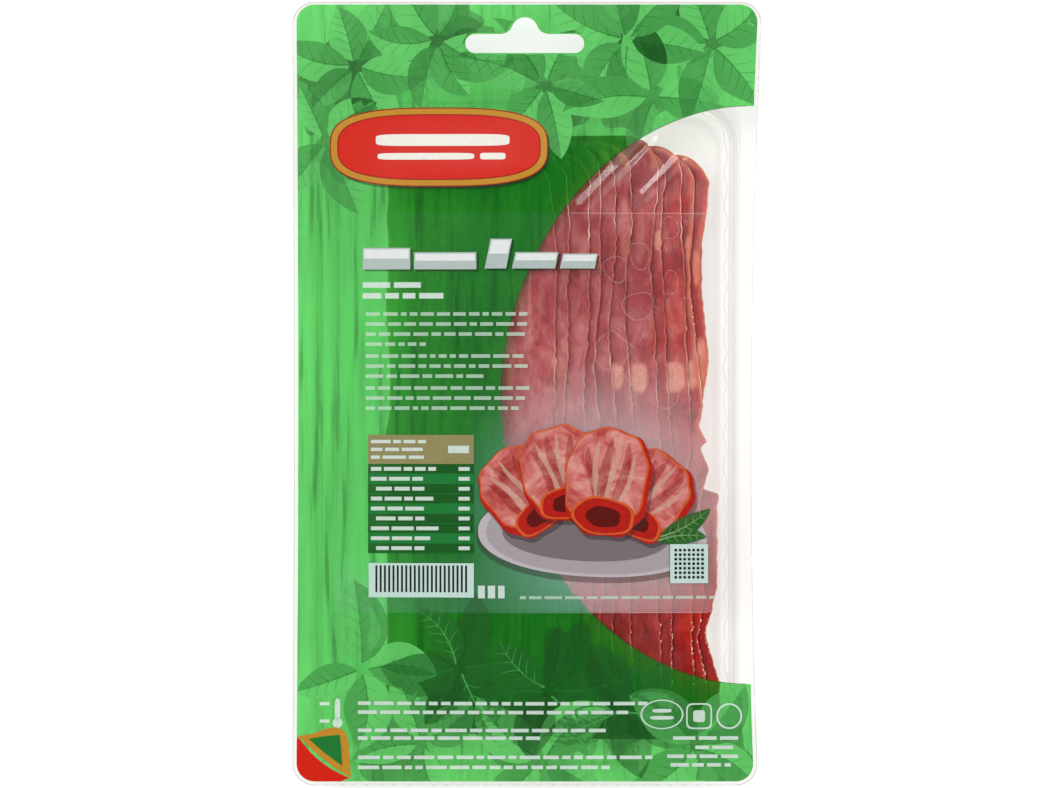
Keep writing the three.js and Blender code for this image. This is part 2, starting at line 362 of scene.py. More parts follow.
def makePiece(name, points, faces, materials, replaced=(), uv=None, values=None, slots=None):
    # points in millimetres; values are named numbers, one for each point
    mesh = bpy.data.meshes.new(name)
    faceLists = faces.tolist() if isinstance(faces, np.ndarray) else faces
    mesh.from_pydata((np.asarray(points) * mm).tolist(), [], faceLists)
    for material in materials:
        mesh.materials.append(material)
    mesh.polygons.foreach_set("use_smooth", [True] * len(mesh.polygons))
    if slots is not None:
        mesh.polygons.foreach_set("material_index", np.asarray(slots, dtype=np.int32))
    corner = np.zeros(len(mesh.loops), dtype=np.int32)
    mesh.loops.foreach_get("vertex_index", corner)
    if uv is not None:
        layer = mesh.uv_layers.new(name="UVMap")
        layer.data.foreach_set("uv", np.asarray(uv, dtype=np.float32)[corner].ravel())
    for key, numbers in (values or {}).items():
        layer = mesh.attributes.new(key, "FLOAT", "POINT")
        layer.data.foreach_set("value", np.asarray(numbers, dtype=np.float32))
    mesh.update()
    piece = addObject(name, mesh)
    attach(piece, "root")
    for node in replaced:
        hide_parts(node)
    return piece


def giveThickness(piece, thickness):
    modifier = piece.modifiers.new("thickness", "SOLIDIFY")
    modifier.thickness = thickness * mm
    modifier.offset = -1.0
    modifier.use_even_offset = True


# Materials

def clearSheet(name, haze, tint, lineTint):
    # APET sheet, thermoformed: colourless and glossy, with painted shade: a grey tint where it bends or ends
    material, tree, out = newMaterial(name)
    line = addNode(tree, "ShaderNodeAttribute", {"attribute_name": "line"})
    # painted shade: the line attribute greys the see-through tint at bends and cut edges
    shade = addNode(tree, "ShaderNodeMix", {"data_type": "RGBA", 6: colour(tint), 7: colour(lineTint)},
                    {0: line.outputs["Fac"]})
    through = addNode(tree, "ShaderNodeBsdfTransparent", {}, {"Color": shade.outputs[2]})
    uneven = addNode(tree, "ShaderNodeTexNoise", {"Scale": 160.0, "Detail": 2.0},
                     {"Vector": addNode(tree, "ShaderNodeTexCoord").outputs["Object"]})
    bump = addNode(tree, "ShaderNodeBump", {"Strength": 0.05, "Distance": 0.0004},
                   {"Height": uneven.outputs["Fac"]})
    gloss = addNode(tree, "ShaderNodeBsdfPrincipled",
                    {"Base Color": colour("#F8F8F8"), "Roughness": 0.08, "Metallic": 1.0},
                    {"Normal": bump.outputs["Normal"]})
    facing = addNode(tree, "ShaderNodeLayerWeight", {"Blend": 0.5})
    grazing = addNode(tree, "ShaderNodeMath", {"operation": "POWER", 1: 5.0}, {0: facing.outputs["Facing"]})
    veil = addNode(tree, "ShaderNodeAttribute", {"attribute_name": "veil"})
    milky = addNode(tree, "ShaderNodeMath", {"operation": "MULTIPLY_ADD", 1: haze, 2: haze},
                    {0: veil.outputs["Fac"]})
    share = addNode(tree, "ShaderNodeMath", {"operation": "MULTIPLY_ADD", 1: 0.22},
                    {0: grazing.outputs[0], 2: milky.outputs[0]})
    mixed = addNode(tree, "ShaderNodeMixShader", {}, {"Fac": share.outputs[0], 1: through.outputs[0],
                                                     2: gloss.outputs[0]})
    tree.links.new(mixed.outputs[0], out.inputs["Surface"])
    return material


def greenFilm():
    # PE film, reverse printed in see-through green: deep over the meat and bright over the clear tray
    material, tree, out = newMaterial("green_printed_pe_film")
    place = addNode(tree, "ShaderNodeTexCoord").outputs["Object"]
    long = addNode(tree, "ShaderNodeMapping", {"Scale": (1.0, 0.06, 1.0)}, {"Vector": place})
    streaks = addNode(tree, "ShaderNodeTexNoise", {"Scale": 420.0, "Detail": 2.0, "Roughness": 0.6},
                      {"Vector": long.outputs[0]})
    broad = addNode(tree, "ShaderNodeTexNoise", {"Scale": 38.0, "Detail": 1.0}, {"Vector": place})
    streakInk = addNode(tree, "ShaderNodeValToRGB", {"ramp": [(0.3, 0.74), (0.44, 0.95), (0.6, 1.0)]},
                        {"Fac": streaks.outputs["Fac"]})
    patchInk = addNode(tree, "ShaderNodeValToRGB",
                       {"ramp": [(0.35, 0.94), (0.65, 1.0)]}, {"Fac": broad.outputs["Fac"]})
    uneven = addNode(tree, "ShaderNodeMix", {"data_type": "RGBA", "blend_type": "MULTIPLY", 0: 1.0},
                     {6: streakInk.outputs["Color"], 7: patchInk.outputs["Color"]})
    surface = addNode(tree, "ShaderNodeMix", {"data_type": "RGBA", "blend_type": "MULTIPLY", 0: 1.0,
                                              6: colour("#20D648")}, {7: uneven.outputs[2]})
    solid = addNode(tree, "ShaderNodeBsdfPrincipled",
                    {"Roughness": 0.22, "IOR": 1.4, "Coat Weight": 0.4, "Coat Roughness": 0.12},
                    {"Base Color": surface.outputs[2]})
    tint = addNode(tree, "ShaderNodeMix", {"data_type": "RGBA", "blend_type": "MULTIPLY", 0: 1.0,
                                           6: [0.45, 0.84, 0.455, 1]}, {7: uneven.outputs[2]})
    through = addNode(tree, "ShaderNodeBsdfTransparent", {}, {"Color": tint.outputs[2]})
    mixed = addNode(tree, "ShaderNodeMixShader", {"Fac": 0.11}, {1: through.outputs[0], 2: solid.outputs[0]})
    tree.links.new(mixed.outputs[0], out.inputs["Surface"])
    return material


def ink(name, code, alpha=1.0, roughness=0.35, metal=0.0, spread=0.08):
    # gravure ink on film: flat colour with faint screen mottle
    material, tree, out = newMaterial(name)
    place = addNode(tree, "ShaderNodeTexCoord").outputs["Object"]
    mottle = addNode(tree, "ShaderNodeTexNoise", {"Scale": 900.0, "Detail": 1.0}, {"Vector": place})
    base = colour(code)
    dark = [c * (1 - spread) for c in base[:3]] + [1]
    light = [min(1, c * (1 + spread)) for c in base[:3]] + [1]
    shade = addNode(tree, "ShaderNodeMix", {"data_type": "RGBA", 6: dark, 7: light},
                    {0: mottle.outputs["Fac"]})
    skin = addNode(tree, "ShaderNodeBsdfPrincipled",
                   {"Roughness": roughness, "Metallic": metal, "Alpha": alpha, "IOR": 1.3},
                   {"Base Color": shade.outputs[2]})
    tree.links.new(skin.outputs[0], out.inputs["Surface"])
    return material


def printedMeat():
    # a printed picture of cured meat: pink with rosy blotches and paler flecks
    material, tree, out = newMaterial("printed_meat_ink")
    place = addNode(tree, "ShaderNodeTexCoord").outputs["Object"]
    clouds = addNode(tree, "ShaderNodeTexNoise", {"Scale": 130.0, "Detail": 5.0, "Roughness": 0.65,
                                                  "Distortion": 0.8}, {"Vector": place})
    tone = addNode(tree, "ShaderNodeValToRGB",
                   {"ramp": [(0.3, colour("#86221E")), (0.42, colour("#A04440")), (0.52, colour("#B0645F")),
                             (0.68, colour("#C09084"))]}, {"Fac": clouds.outputs["Fac"]})
    skin = addNode(tree, "ShaderNodeBsdfPrincipled", {"Roughness": 0.35, "IOR": 1.3},
                   {"Base Color": tone.outputs["Color"]})
    tree.links.new(skin.outputs[0], out.inputs["Surface"])
    return material


def mistyLabel(name, code):
    # clear PP label with a pale misty print round its picture, cooler where it lies over green
    material, tree, out = newMaterial(name)
    mist = addNode(tree, "ShaderNodeAttribute", {"attribute_name": "mist"})
    place = addNode(tree, "ShaderNodeTexCoord").outputs["Object"]
    cloud = addNode(tree, "ShaderNodeTexNoise", {"Scale": 55.0, "Detail": 1.0}, {"Vector": place})
    uneven = addNode(tree, "ShaderNodeMapRange",
                     {"From Min": 0.3, "From Max": 0.7, "To Min": 0.9, "To Max": 1.1},
                     {"Value": cloud.outputs["Fac"]})
    share = addNode(tree, "ShaderNodeMath", {"operation": "MULTIPLY", "use_clamp": True},
                    {0: mist.outputs["Fac"], 1: uneven.outputs[0]})
    white = addNode(tree, "ShaderNodeBsdfPrincipled",
                    {"Base Color": colour(code), "Roughness": 0.25, "IOR": 1.3})
    through = addNode(tree, "ShaderNodeBsdfTransparent", {"Color": colour("#FEFEFE")})
    mixed = addNode(tree, "ShaderNodeMixShader", {}, {"Fac": share.outputs[0], 1: through.outputs[0],
                                                     2: white.outputs[0]})
    tree.links.new(mixed.outputs[0], out.inputs["Surface"])
    return material


def curedMeat():
    # cured pork belly, cut and wet: dusky red lean with fine fibres, salmon fat, cream rims on the cut edges
    material, tree, out = newMaterial("wet_cured_pork")
    uv = addNode(tree, "ShaderNodeUVMap", {"uv_map": "UVMap"}).outputs["UV"]
    fat = addNode(tree, "ShaderNodeAttribute", {"attribute_name": "fat"})
    rim = addNode(tree, "ShaderNodeAttribute", {"attribute_name": "rim"})
    deep = addNode(tree, "ShaderNodeAttribute", {"attribute_name": "deep"})
    pale = addNode(tree, "ShaderNodeAttribute", {"attribute_name": "pale"})
    warm = addNode(tree, "ShaderNodeAttribute", {"attribute_name": "warm"})
    step = addNode(tree, "ShaderNodeAttribute", {"attribute_name": "step"})
    long = addNode(tree, "ShaderNodeMapping", {"Scale": (1.0, 0.45, 1.0)}, {"Vector": uv})
    fibres = addNode(tree, "ShaderNodeTexNoise", {"Scale": 95.0, "Detail": 5.0, "Roughness": 0.65},
                     {"Vector": long.outputs[0]})
    blotches = addNode(tree, "ShaderNodeTexNoise", {"Scale": 16.0, "Detail": 4.0, "Distortion": 0.6},
                       {"Vector": long.outputs[0]})
    dusky = addNode(tree, "ShaderNodeValToRGB",
                    {"ramp": [(0.3, colour("#88222A")), (0.48, colour("#A0383E")),
                              (0.68, colour("#B46064"))]},
                    {"Fac": blotches.outputs["Fac"]})
    strong = addNode(tree, "ShaderNodeValToRGB",
                     {"ramp": [(0.34, colour("#880300")), (0.5, colour("#B00A02")),
                               (0.68, colour("#C43A22"))]},
                     {"Fac": blotches.outputs["Fac"]})
    grain = addNode(tree, "ShaderNodeValToRGB", {"ramp": [(0.32, 0.66), (0.6, 1.0)]},
                    {"Fac": fibres.outputs["Fac"]})
    duskyGrain = addNode(tree, "ShaderNodeMix", {"data_type": "RGBA", "blend_type": "MULTIPLY", 0: 1.0},
                         {6: dusky.outputs["Color"], 7: grain.outputs["Color"]})
    strongGrain = addNode(tree, "ShaderNodeMix", {"data_type": "RGBA", "blend_type": "MULTIPLY", 0: 1.0},
                          {6: strong.outputs["Color"], 7: grain.outputs["Color"]})
    flecks = addNode(tree, "ShaderNodeTexNoise", {"Scale": 44.0, "Detail": 6.0, "Roughness": 0.75},
                     {"Vector": long.outputs[0]})
    marbling = addNode(tree, "ShaderNodeValToRGB", {"ramp": [(0.54, 0.0), (0.74, 0.32)]},
                       {"Fac": flecks.outputs["Fac"]})
    marbled = addNode(tree, "ShaderNodeMix", {"data_type": "RGBA", 7: colour("#C58C8A")},
                      {0: marbling.outputs["Color"], 6: duskyGrain.outputs[2]})
    lean = addNode(tree, "ShaderNodeMix", {"data_type": "RGBA"},
                   {0: deep.outputs["Fac"], 6: marbled.outputs[2], 7: strongGrain.outputs[2]})
    fatTone = addNode(tree, "ShaderNodeValToRGB",
                      {"ramp": [(0.35, colour("#C6776A")), (0.65, colour("#D4917F"))]},
                      {"Fac": fibres.outputs["Fac"]})
    fatWarm = addNode(tree, "ShaderNodeMix", {"data_type": "RGBA", 7: colour("#CC6A50")},
                      {0: warm.outputs["Fac"], 6: fatTone.outputs["Color"]})
    # painted shade: the step attribute darkens the lean towards deep red beside the slice above, partly for
    # wet meat
    shaded = addNode(tree, "ShaderNodeMix", {"data_type": "RGBA", 7: colour("#78101A")},
                     {0: step.outputs["Fac"], 6: lean.outputs[2]})
    withFat = addNode(tree, "ShaderNodeMix", {"data_type": "RGBA"},
                      {0: fat.outputs["Fac"], 6: shaded.outputs[2], 7: fatWarm.outputs[2]})
    rimTone = addNode(tree, "ShaderNodeMix",
                      {"data_type": "RGBA", 6: colour("#AC4A2A"), 7: colour("#FFE4C8")},
                      {0: pale.outputs["Fac"]})
    withRim = addNode(tree, "ShaderNodeMix", {"data_type": "RGBA"},
                      {0: rim.outputs["Fac"], 6: withFat.outputs[2], 7: rimTone.outputs[2]})
    bump = addNode(tree, "ShaderNodeBump", {"Strength": 0.35, "Distance": 0.0003},
                   {"Height": fibres.outputs["Fac"]})
    flesh = addNode(tree, "ShaderNodeBsdfPrincipled",
                    {"Roughness": 0.32, "IOR": 1.33, "Coat Weight": 0.2, "Coat Roughness": 0.1},
                    {"Base Color": withRim.outputs[2], "Normal": bump.outputs["Normal"]})
    tree.links.new(flesh.outputs[0], out.inputs["Surface"])
    return material


materials = {
    "tray": clearSheet("clear_apet_tray", 0.012, "#FEFEFD", "#EFEBEB"),
    "film": clearSheet("clear_pe_film", 0.02, "#FEFEFD", "#ECEAEB"),
    "green": greenFilm(),
    "label": mistyLabel("misty_pp_label", "#E6D2D4"),
    "labelGreen": mistyLabel("cool_misty_pp_label", "#8FC9B4"),
    "meat": curedMeat(),
    "white": ink("white_ink", "#BECCC3", alpha=0.8),
    "textInk": ink("text_ink", "#AFC6B5", alpha=0.6),
    "silver": ink("silver_ink", "#9AA5A2", alpha=0.97, roughness=0.3),
    "titleLight": ink("silver_light_ink", "#CCCFCD", alpha=0.9, roughness=0.3),
    "shadow": ink("shadow_ink", "#0A2A12", alpha=0.55),
    "cream": ink("cream_ink", "#CDCAC1"),
    "red": ink("red_ink", "#B51601"),
    "redDark": ink("dark_red_ink", "#7E0400"),
    "gold": ink("gold_ink", "#A77520", roughness=0.3),
    "goldFlat": ink("gold_table_ink", "#79734A"),
    "tableDark": ink("dark_green_ink", "#024A0C", alpha=0.9),
    "tableMid": ink("mid_green_ink", "#0B6A28", alpha=0.9),
    "black": ink("black_ink", "#12100F"),
    "boxWhite": ink("box_white_ink", "#A6BCB4"),
    "plate": ink("plate_grey_ink", "#978F92", alpha=0.85),
    "plateRim": ink("plate_rim_ink", "#AAA3A7", alpha=0.85),
    "plateShade": ink("plate_shade_ink", "#3A2426", alpha=0.35),
    "sliceInk": printedMeat(),
    "sliceRed": ink("red_slice_ink", "#970F04", spread=0.3),
    "sliceCore": ink("dark_core_ink", "#4E0602", alpha=0.75, spread=0.3),
    "sliceFold": ink("fold_shade_ink", "#8E1A14", alpha=0.3, spread=0.3),
    "sliceFat": ink("cream_slice_ink", "#C8A594", alpha=0.45, spread=0.15),
    "sliceEdge": ink("orange_edge_ink", "#AF4A1D", spread=0.25),
    "leafDark": ink("leaf_gap_ink", "#16521A", alpha=0.4, spread=0.25),
    "leafOpen": ink("leaf_open_ink", "#55B158", alpha=0.8, spread=0.04),
    "leafShade": ink("leaf_shade_ink", "#1A6A24", alpha=0.3, spread=0.15),
    "leafMid": ink("leaf_vein_ink", "#1E7A2C", alpha=0.4),
    "leafLight": ink("leaf_light_ink", "#4FA854", alpha=0.5),
    "herb": ink("herb_ink", "#2B5120", spread=0.2),
    "herbLight": ink("herb_light_ink", "#638751"),
    "seal": ink("seal_line_gel", "#A98A84", alpha=0.35, roughness=0.2),
    # painted highlight: pale ink for lines that catch the light
    "clingLine": ink("cling_line", "#DCCACA", alpha=0.24),
    "clingPatch": ink("cling_patch", "#7A2038", alpha=0.13),
    # painted highlight: the beads' pale colour stands in for their glints, beside their real gloss
    "brine": ink("brine_bead_painted_glint", "#E6C8B4", roughness=0.12),
}
print("materials made", len(materials))


# The tray: rings carried through the rounded stations of its wall, inside and out

def roundedPath(corners, radii, steps=6):
    # straight runs joined by arcs, as quadratic bends that start and end at radius from each corner
    path = [np.array(corners[0], float)]
    for i in range(1, len(corners) - 1):
        before, at, after = (np.array(corners[j], float) for j in (i - 1, i, i + 1))
        near = at + (before - at) / np.linalg.norm(before - at) * radii[i]
        far = at + (after - at) / np.linalg.norm(after - at) * radii[i]
        for t in np.linspace(0, 1, steps):
            path.append((1 - t) ** 2 * near + 2 * t * (1 - t) * at + t * t * far)
    path.append(np.array(corners[-1], float))
    return np.array(path)


def level(loop, z):
    return np.column_stack([loop, np.full(len(loop), z)])


def trayShell():
    # one closed skin of rings, and how sharply it bends at each point
    high, ledge, sheet = tray["height"], tray["ledge"], tray["sheet"]
    lean, step = tray["wallLean"], tray["stepOut"]
    soft, tight = tray["floorRound"], tray["stepRound"]
    # corners of the wall's section: distance outside the floor's outline, then height
    inside = roundedPath([(-7, sheet), (0, sheet), (lean, ledge), (step - 0.2, ledge), (step, high),
                          (step + 1, high)], [0, soft, tight, tight, tight, 0])
    under = roundedPath([(step + 1.6, high - sheet), (step + sheet, high - sheet),
                         (step + 0.3, ledge - sheet), (lean + 0.4, ledge - sheet), (sheet - 0.05, 0),
                         (-7, 0)],
                        [0, tight, tight, tight, soft, 0])
    rings = [level(floorRing(grow), z) for grow, z in inside]
    mouth, rim = rings[-1], level(packRing(), high)
    rings += [mouth + (rim - mouth) * share for share in (0.15, 0.4, 0.7, 0.9, 0.97)]
    rimUnder = rim - [0, 0, sheet]
    lower = level(floorRing(under[0][0]), high - sheet)
    rings += [rim, rimUnder]
    rings += [rimUnder * (1 - share) + lower * share for share in (0.03, 0.3, 0.6, 0.85)]
    rings = np.array(rings + [level(floorRing(grow), z) for grow, z in under])
    runs = np.diff(rings, axis=0)
    lengths = np.linalg.norm(runs, axis=2)
    bends = np.linalg.norm(np.diff(runs / lengths[:, :, None], axis=0), axis=2).mean(1)
    steps = lengths.mean(1)
    sharp = np.minimum(1, 3 * bends / np.maximum(0.4, 2 * (steps[:-1] + steps[1:])))
    count = rings.shape[1]
    line = np.append(np.repeat([0, *sharp, 0], count), [0, 0])
    faces = gridFaces(len(rings), count, wrapColumns=True)[:, ::-1].tolist()
    middle = (tray["top"] + tray["bottom"]) / 2
    points = np.vstack([rings.reshape(-1, 3), [0, middle, sheet], [0, middle, 0]])
    first, last, base = len(points) - 2, len(points) - 1, (len(rings) - 1) * count
    for i in range(count):
        j = (i + 1) % count
        faces.append([first, i, j])
        faces.append([last, base + j, base + i])
    return points, faces, line


def slotBlock():
    # the hang slot as a closed block to cut with, from below the flange to above the film
    loop = slotLoop()
    count = len(loop)
    step = np.arange(count)
    faces = np.column_stack([step, (step + 1) % count, count + (step + 1) % count, count + step]).tolist()
    faces += [step[::-1].tolist(), (count + step).tolist()]
    mesh = bpy.data.meshes.new("slot_block")
    mesh.from_pydata((np.vstack([level(loop, 10.0), level(loop, 22.0)]) * mm).tolist(), [], faces)
    return addObject("slot_block", mesh)


def applyModifiers(piece):
    shaped = bpy.data.meshes.new_from_object(piece.evaluated_get(bpy.context.evaluated_depsgraph_get()))
    old = piece.data
    piece.modifiers.clear()
    piece.data = shaped
    bpy.data.meshes.remove(old)


points, faces, line = trayShell()
trayPiece = makePiece("tray_shell", points, faces, [materials["tray"]], ["tray"],
                      values={"line": line})
block = slotBlock()
cut = trayPiece.modifiers.new("slot", "BOOLEAN")
cut.operation = "DIFFERENCE"
cut.solver = "EXACT"
cut.object = block
bpy.context.view_layer.update()
applyModifiers(trayPiece)
bpy.data.objects.remove(block)
trayPiece.data.name = "tray_shell"
print("tray shell", len(trayPiece.data.polygons))


# The film: one sheet whose net follows the print's outline, with clear and green faces

def windowArc():
    # left half of a superellipse, from its lower end up to its upper end
    t = np.linspace(math.pi / 2, 3 * math.pi / 2, 97)[::-1]
    turn = np.column_stack([np.cos(t), np.sin(t)])
    bent = np.sign(turn) * np.abs(turn) ** (2 / film["windowPower"])
    return film["windowCentre"] + bent * film["windowSize"]


def printLoop():
    # the print's border, open to the right where the window meets it
    border = printRing()
    arc = windowArc()
    low, high = arc[0, 1], arc[-1, 1]
    inGap = np.flatnonzero((border[:, 0] > 40) & (border[:, 1] > low) & (border[:, 1] < high))
    around = np.roll(border, -(inGap[-1] + 1), axis=0)
    kept = around[: len(border) - (inGap[-1] - inGap[0] + 1)]
    return np.vstack([kept, [kept[-1, 0], low], arc, [kept[0, 0], high]])


def creaseDots():
    # a fine net along each crease, short of the film's rim
    dots = []
    for start, end, width, height in creases:
        start, end = np.array(start), np.array(end)
        length = np.linalg.norm(end - start)
        along = (end - start) / length
        side = np.array([along[1], -along[0]])
        t, s = np.meshgrid(np.arange(0, length, 0.9), np.arange(-1.2 * width, 1.01 * width, 0.12 * width))
        dots.append(start + t.reshape(-1, 1) * along + s.reshape(-1, 1) * side)
    dots = np.vstack(dots)
    return dots[insideLoop(dots, packRing(-0.5)) & (apart(dots, printEdge).min(1) > 0.3)]


printEdge = printLoop()
rimLine = film["rimLine"]
flat, faces = triangulate([packRing(), slotLoop()], [printEdge, packRing(-rimLine)], film["spacing"],
                          creaseDots())
isGreen = insideLoop(flat[faces].mean(1), printEdge)
fromRim = apart(flat, packRing()).min(1)
filmPiece = makePiece("printed_film", np.column_stack([flat, filmTop(*flat.T)]), faces,
                      [materials["film"], materials["green"]], ["lid_film"],
                      values={"line": np.clip(1 - fromRim / rimLine, 0, 1), "veil": veilAt(*flat.T)},
                      slots=isGreen.astype(int))
giveThickness(filmPiece, film["sheet"])
print("film", len(faces))

# The label: a clear rounded rectangle, its mist thickening towards the lower half

mistGlow = {
    "centre": (22.0, -30.0),
    "size": (37.0, 36.0),
    "most": 0.18,
    "base": 0.01,
    "foot": 0.035,
}


def mistAt(x, y):
    # a glow round the picture: thickest at its middle, gone an ellipse's width away
    cx, cy = mistGlow["centre"]
    reach = np.hypot((x - cx) / mistGlow["size"][0], (y - cy) / mistGlow["size"][1])
    glow = 1 - smoothStep((reach - 0.35) / 0.9)
    return mistGlow["base"] + mistGlow["most"] * glow + mistGlow["foot"] * smoothStep((-42 - y) / 10)


labelEdge = ring(label["half"], label["top"], label["bottom"], label["corner"], 0.0)
arc = windowArc()
labelArc = arc[(arc[:, 0] < label["half"] - 0.5) & (arc[:, 1] < label["top"] - 0.5)
               & (arc[:, 1] > label["bottom"] + 0.5)]
flat, faces = triangulate([labelEdge], [], label["spacing"], labelArc)
overGreen = insideLoop(flat[faces].mean(1), printEdge)
labelPiece = makePiece("label_sheet", np.column_stack([flat, labelTop(*flat.T)]), faces,
                       [materials["label"], materials["labelGreen"]], ["label"],
                       values={"mist": mistAt(*flat.T)}, slots=overGreen.astype(int))
giveThickness(labelPiece, label["sheet"])
print("label", len(faces))


# The print: flat patches of ink that follow the film or the label

def disc(cx, cy, a, b, power=2.0, turn=0.0, count=40, rings=4, inner=0.0, ruffle=0.0, folds=0, start=0.0):
    # a superellipse filled by rings; ruffle makes its rim wave, inner leaves it open in the middle
    angle = np.linspace(0, 2 * math.pi, count, endpoint=False)
    c, s = np.cos(angle), np.sin(angle)
    reach = 1 + ruffle * np.cos(folds * angle + start)
    x = a * reach * np.sign(c) * np.abs(c) ** (2 / power)
    y = b * reach * np.sign(s) * np.abs(s) ** (2 / power)
    shares = np.linspace(max(inner, 0.2), 1, rings)[:, None]
    px, py = (shares * x).ravel(), (shares * y).ravel()
    points = np.column_stack([cx + px * math.cos(turn) - py * math.sin(turn),
                              cy + px * math.sin(turn) + py * math.cos(turn)])
    faces = gridFaces(rings, count, wrapColumns=True).tolist()
    if inner == 0.0:
        faces.append(list(range(count)))
    return points, faces


def bar(x0, x1, y0, y1, cell=3.0):
    columns = max(2, int(abs(x1 - x0) / cell) + 2)
    rows = max(2, int(abs(y1 - y0) / cell) + 2)
    x, y = np.meshgrid(np.linspace(x0, x1, columns), np.linspace(y0, y1, rows))
    return np.column_stack([x.ravel(), y.ravel()]), gridFaces(rows, columns).tolist()


def headings(path, closed=False):
    # unit steps along a path, and unit steps to its right
    along = np.roll(path, -1, axis=0) - np.roll(path, 1, axis=0) if closed else np.gradient(path, axis=0)
    along = along / np.linalg.norm(along, axis=1)[:, None]
    return along, np.column_stack([along[:, 1], -along[:, 0]])


def band(path, half, columns=2):
    # a ribbon along a path, as wide to each side as half says, for all or for each of its points
    side = headings(path)[1]
    reach = np.broadcast_to(np.asarray(half, float), (len(path),))[:, None]
    rows = [path + side * reach * s for s in np.linspace(-1, 1, columns)]
    points = np.stack(rows, axis=1).reshape(-1, 2)
    return points, gridFaces(len(path), columns).tolist()


def closedBand(loop, half):
    # a ribbon along a closed loop
    side = headings(loop, True)[1]
    points = np.stack([loop + side * half, loop - side * half]).reshape(-1, 2)
    return points, gridFaces(2, len(loop), wrapColumns=True).tolist()


def curve(start, end, bend, steps=14):
    # a quadratic arc whose middle is pushed sideways by bend
    start, end = np.array(start, float), np.array(end, float)
    run = end - start
    middle = (start + end) / 2 + np.array([-run[1], run[0]]) * bend
    t = np.linspace(0, 1, steps)[:, None]
    return (1 - t) ** 2 * start + 2 * t * (1 - t) * middle + t * t * end


def leaf(start, end, half, bend, field, vein, lift):
    # a bay leaf: pointed blade, one darker half, midrib and side veins
    spine = curve(start, end, bend)
    t = np.linspace(0, 1, len(spine))
    width = half * np.sin(math.pi * t ** 0.85) ** 0.8 + 0.03
    along, side = headings(spine)
    darker = np.stack([spine, spine + side * width[:, None]], axis=1).reshape(-1, 2)
    patches = [
        (*band(spine, width, columns=5), lift, field),
        (darker, gridFaces(len(spine), 2).tolist(), lift + 0.012, "leafShade"),
        (*band(spine, 0.22 * (1.1 - t)), lift + 0.03, vein),
    ]
    for i in range(2, len(spine) - 3, 2):
        for sign in (-1, 1):
            tip = spine[i] + sign * side[i] * width[i] * 0.8 + along[i] * width[i] * 0.55
            patches.append((*band(curve(spine[i], tip, sign * 0.1, 5), [0.1, 0.09, 0.08, 0.06, 0.03]),
                            lift + 0.03, vein))
    return patches


def words(x0, x1, y, height, seed, sizes, lift, key):
    # a row of dashes of uneven length, as far as x1; sizes are the shortest, the longest and the gap
    shortest, longest, gap = sizes
    draw = np.random.default_rng(seed)
    x, patches = x0, []
    while x < x1 - shortest:
        end = min(x1, x + draw.uniform(shortest, longest))
        patches.append((*bar(x, end, y - height / 2, y + height / 2, 4.0), lift, key))
        x = end + gap
    return patches


def printPiece(name, surface, patches):
    # joins patches of (points, faces, lift, ink) into one mesh that lies on the surface, all faces up
    keys = []
    points, faces, slots, start = [], [], [], 0
    for flat, quads, lift, key in patches:
        if key not in keys:
            keys.append(key)
        points.append(np.column_stack([flat, surface(*flat.T) + lift]))
        for quad in quads:
            x, y = flat[quad, 0], flat[quad, 1]
            area = np.dot(x, np.roll(y, -1)) - np.dot(y, np.roll(x, -1))
            order = quad if area > 0 else quad[::-1]
            faces.append([start + i for i in order])
            slots.append(keys.index(key))
        start += len(flat)
    makePiece(name, np.vstack(points), faces, [materials[key] for key in keys], slots=slots)
    print(name, len(faces))


def plaque():
    # a red shield with a gold border and cream bars
    cx, cy = -23.5, 66.3
    outer = {"power": 3.0, "count": 72, "rings": 10}
    mark = {"power": 6.0, "count": 48, "rings": 4}
    return [
        (*disc(cx + 0.6, cy - 0.8, 29.2, 10.6, **outer), 0.3, "shadow"),
        (*disc(cx, cy, 29.4, 10.7, **outer), 0.33, "redDark"),
        (*disc(cx, cy, 29.1, 10.4, **outer), 0.36, "gold"),
        (*disc(cx, cy, 27.4, 8.9, **outer), 0.39, "redDark"),
        (*disc(cx, cy, 27.1, 8.6, **outer), 0.42, "red"),
        (*disc(cx + 1.0, cy + 1.9, 18.0, 1.6, **mark), 0.45, "cream"),
        (*disc(cx - 3.5, cy - 2.5, 13.0, 0.9, **mark), 0.45, "cream"),
        (*disc(cx + 14.5, cy - 2.5, 3.4, 0.9, **mark), 0.45, "cream"),
    ]


def slanted(x0, x1, y0, y1, lean, columns=9, rows=5):
    # a bar whose upper edge is pushed to the right
    t, s = np.meshgrid(np.linspace(0, 1, columns), np.linspace(0, 1, rows))
    x = x0 + (x1 - x0) * t + lean * (s - 0.5)
    return np.column_stack([x.ravel(), (y0 + (y1 - y0) * s).ravel()]), gridFaces(rows, columns).tolist()


def titleBars():
    # silver bars with a lighter upper part and a dark drop shadow
    patches = []
    for x0, x1, y0, y1, lean in ((-44.0, -31.2, 33.4, 39.2, 0.0), (-30.2, -13.4, 33.4, 38.0, 0.0),
                                 (-10.4, -4.6, 33.6, 41.6, 1.6), (-3.4, 8.2, 33.6, 38.0, 0.9),
                                 (9.4, 18.8, 33.6, 37.6, 0.8)):
        high = (y0 + y1) / 2
        shift = lean / 4
        patches += [
            (*slanted(x0 + 0.5, x1 + 0.5, y0 - 0.5, y1 - 0.5, lean), 0.02, "shadow"),
            (*slanted(x0, x1, y0, y1, lean), 0.05, "silver"),
            (*slanted(x0 + 0.4 + shift, x1 - 0.4 + shift, high, y1 - 0.4, lean / 2), 0.07, "titleLight"),
        ]
    for y, end in ((29.2, -25.4), (26.3, -21.6)):
        patches += words(-44.0, end, y, 1.5, int(y * 10), (3.0, 9.0, 1.0), 0.04, "white")
    return patches


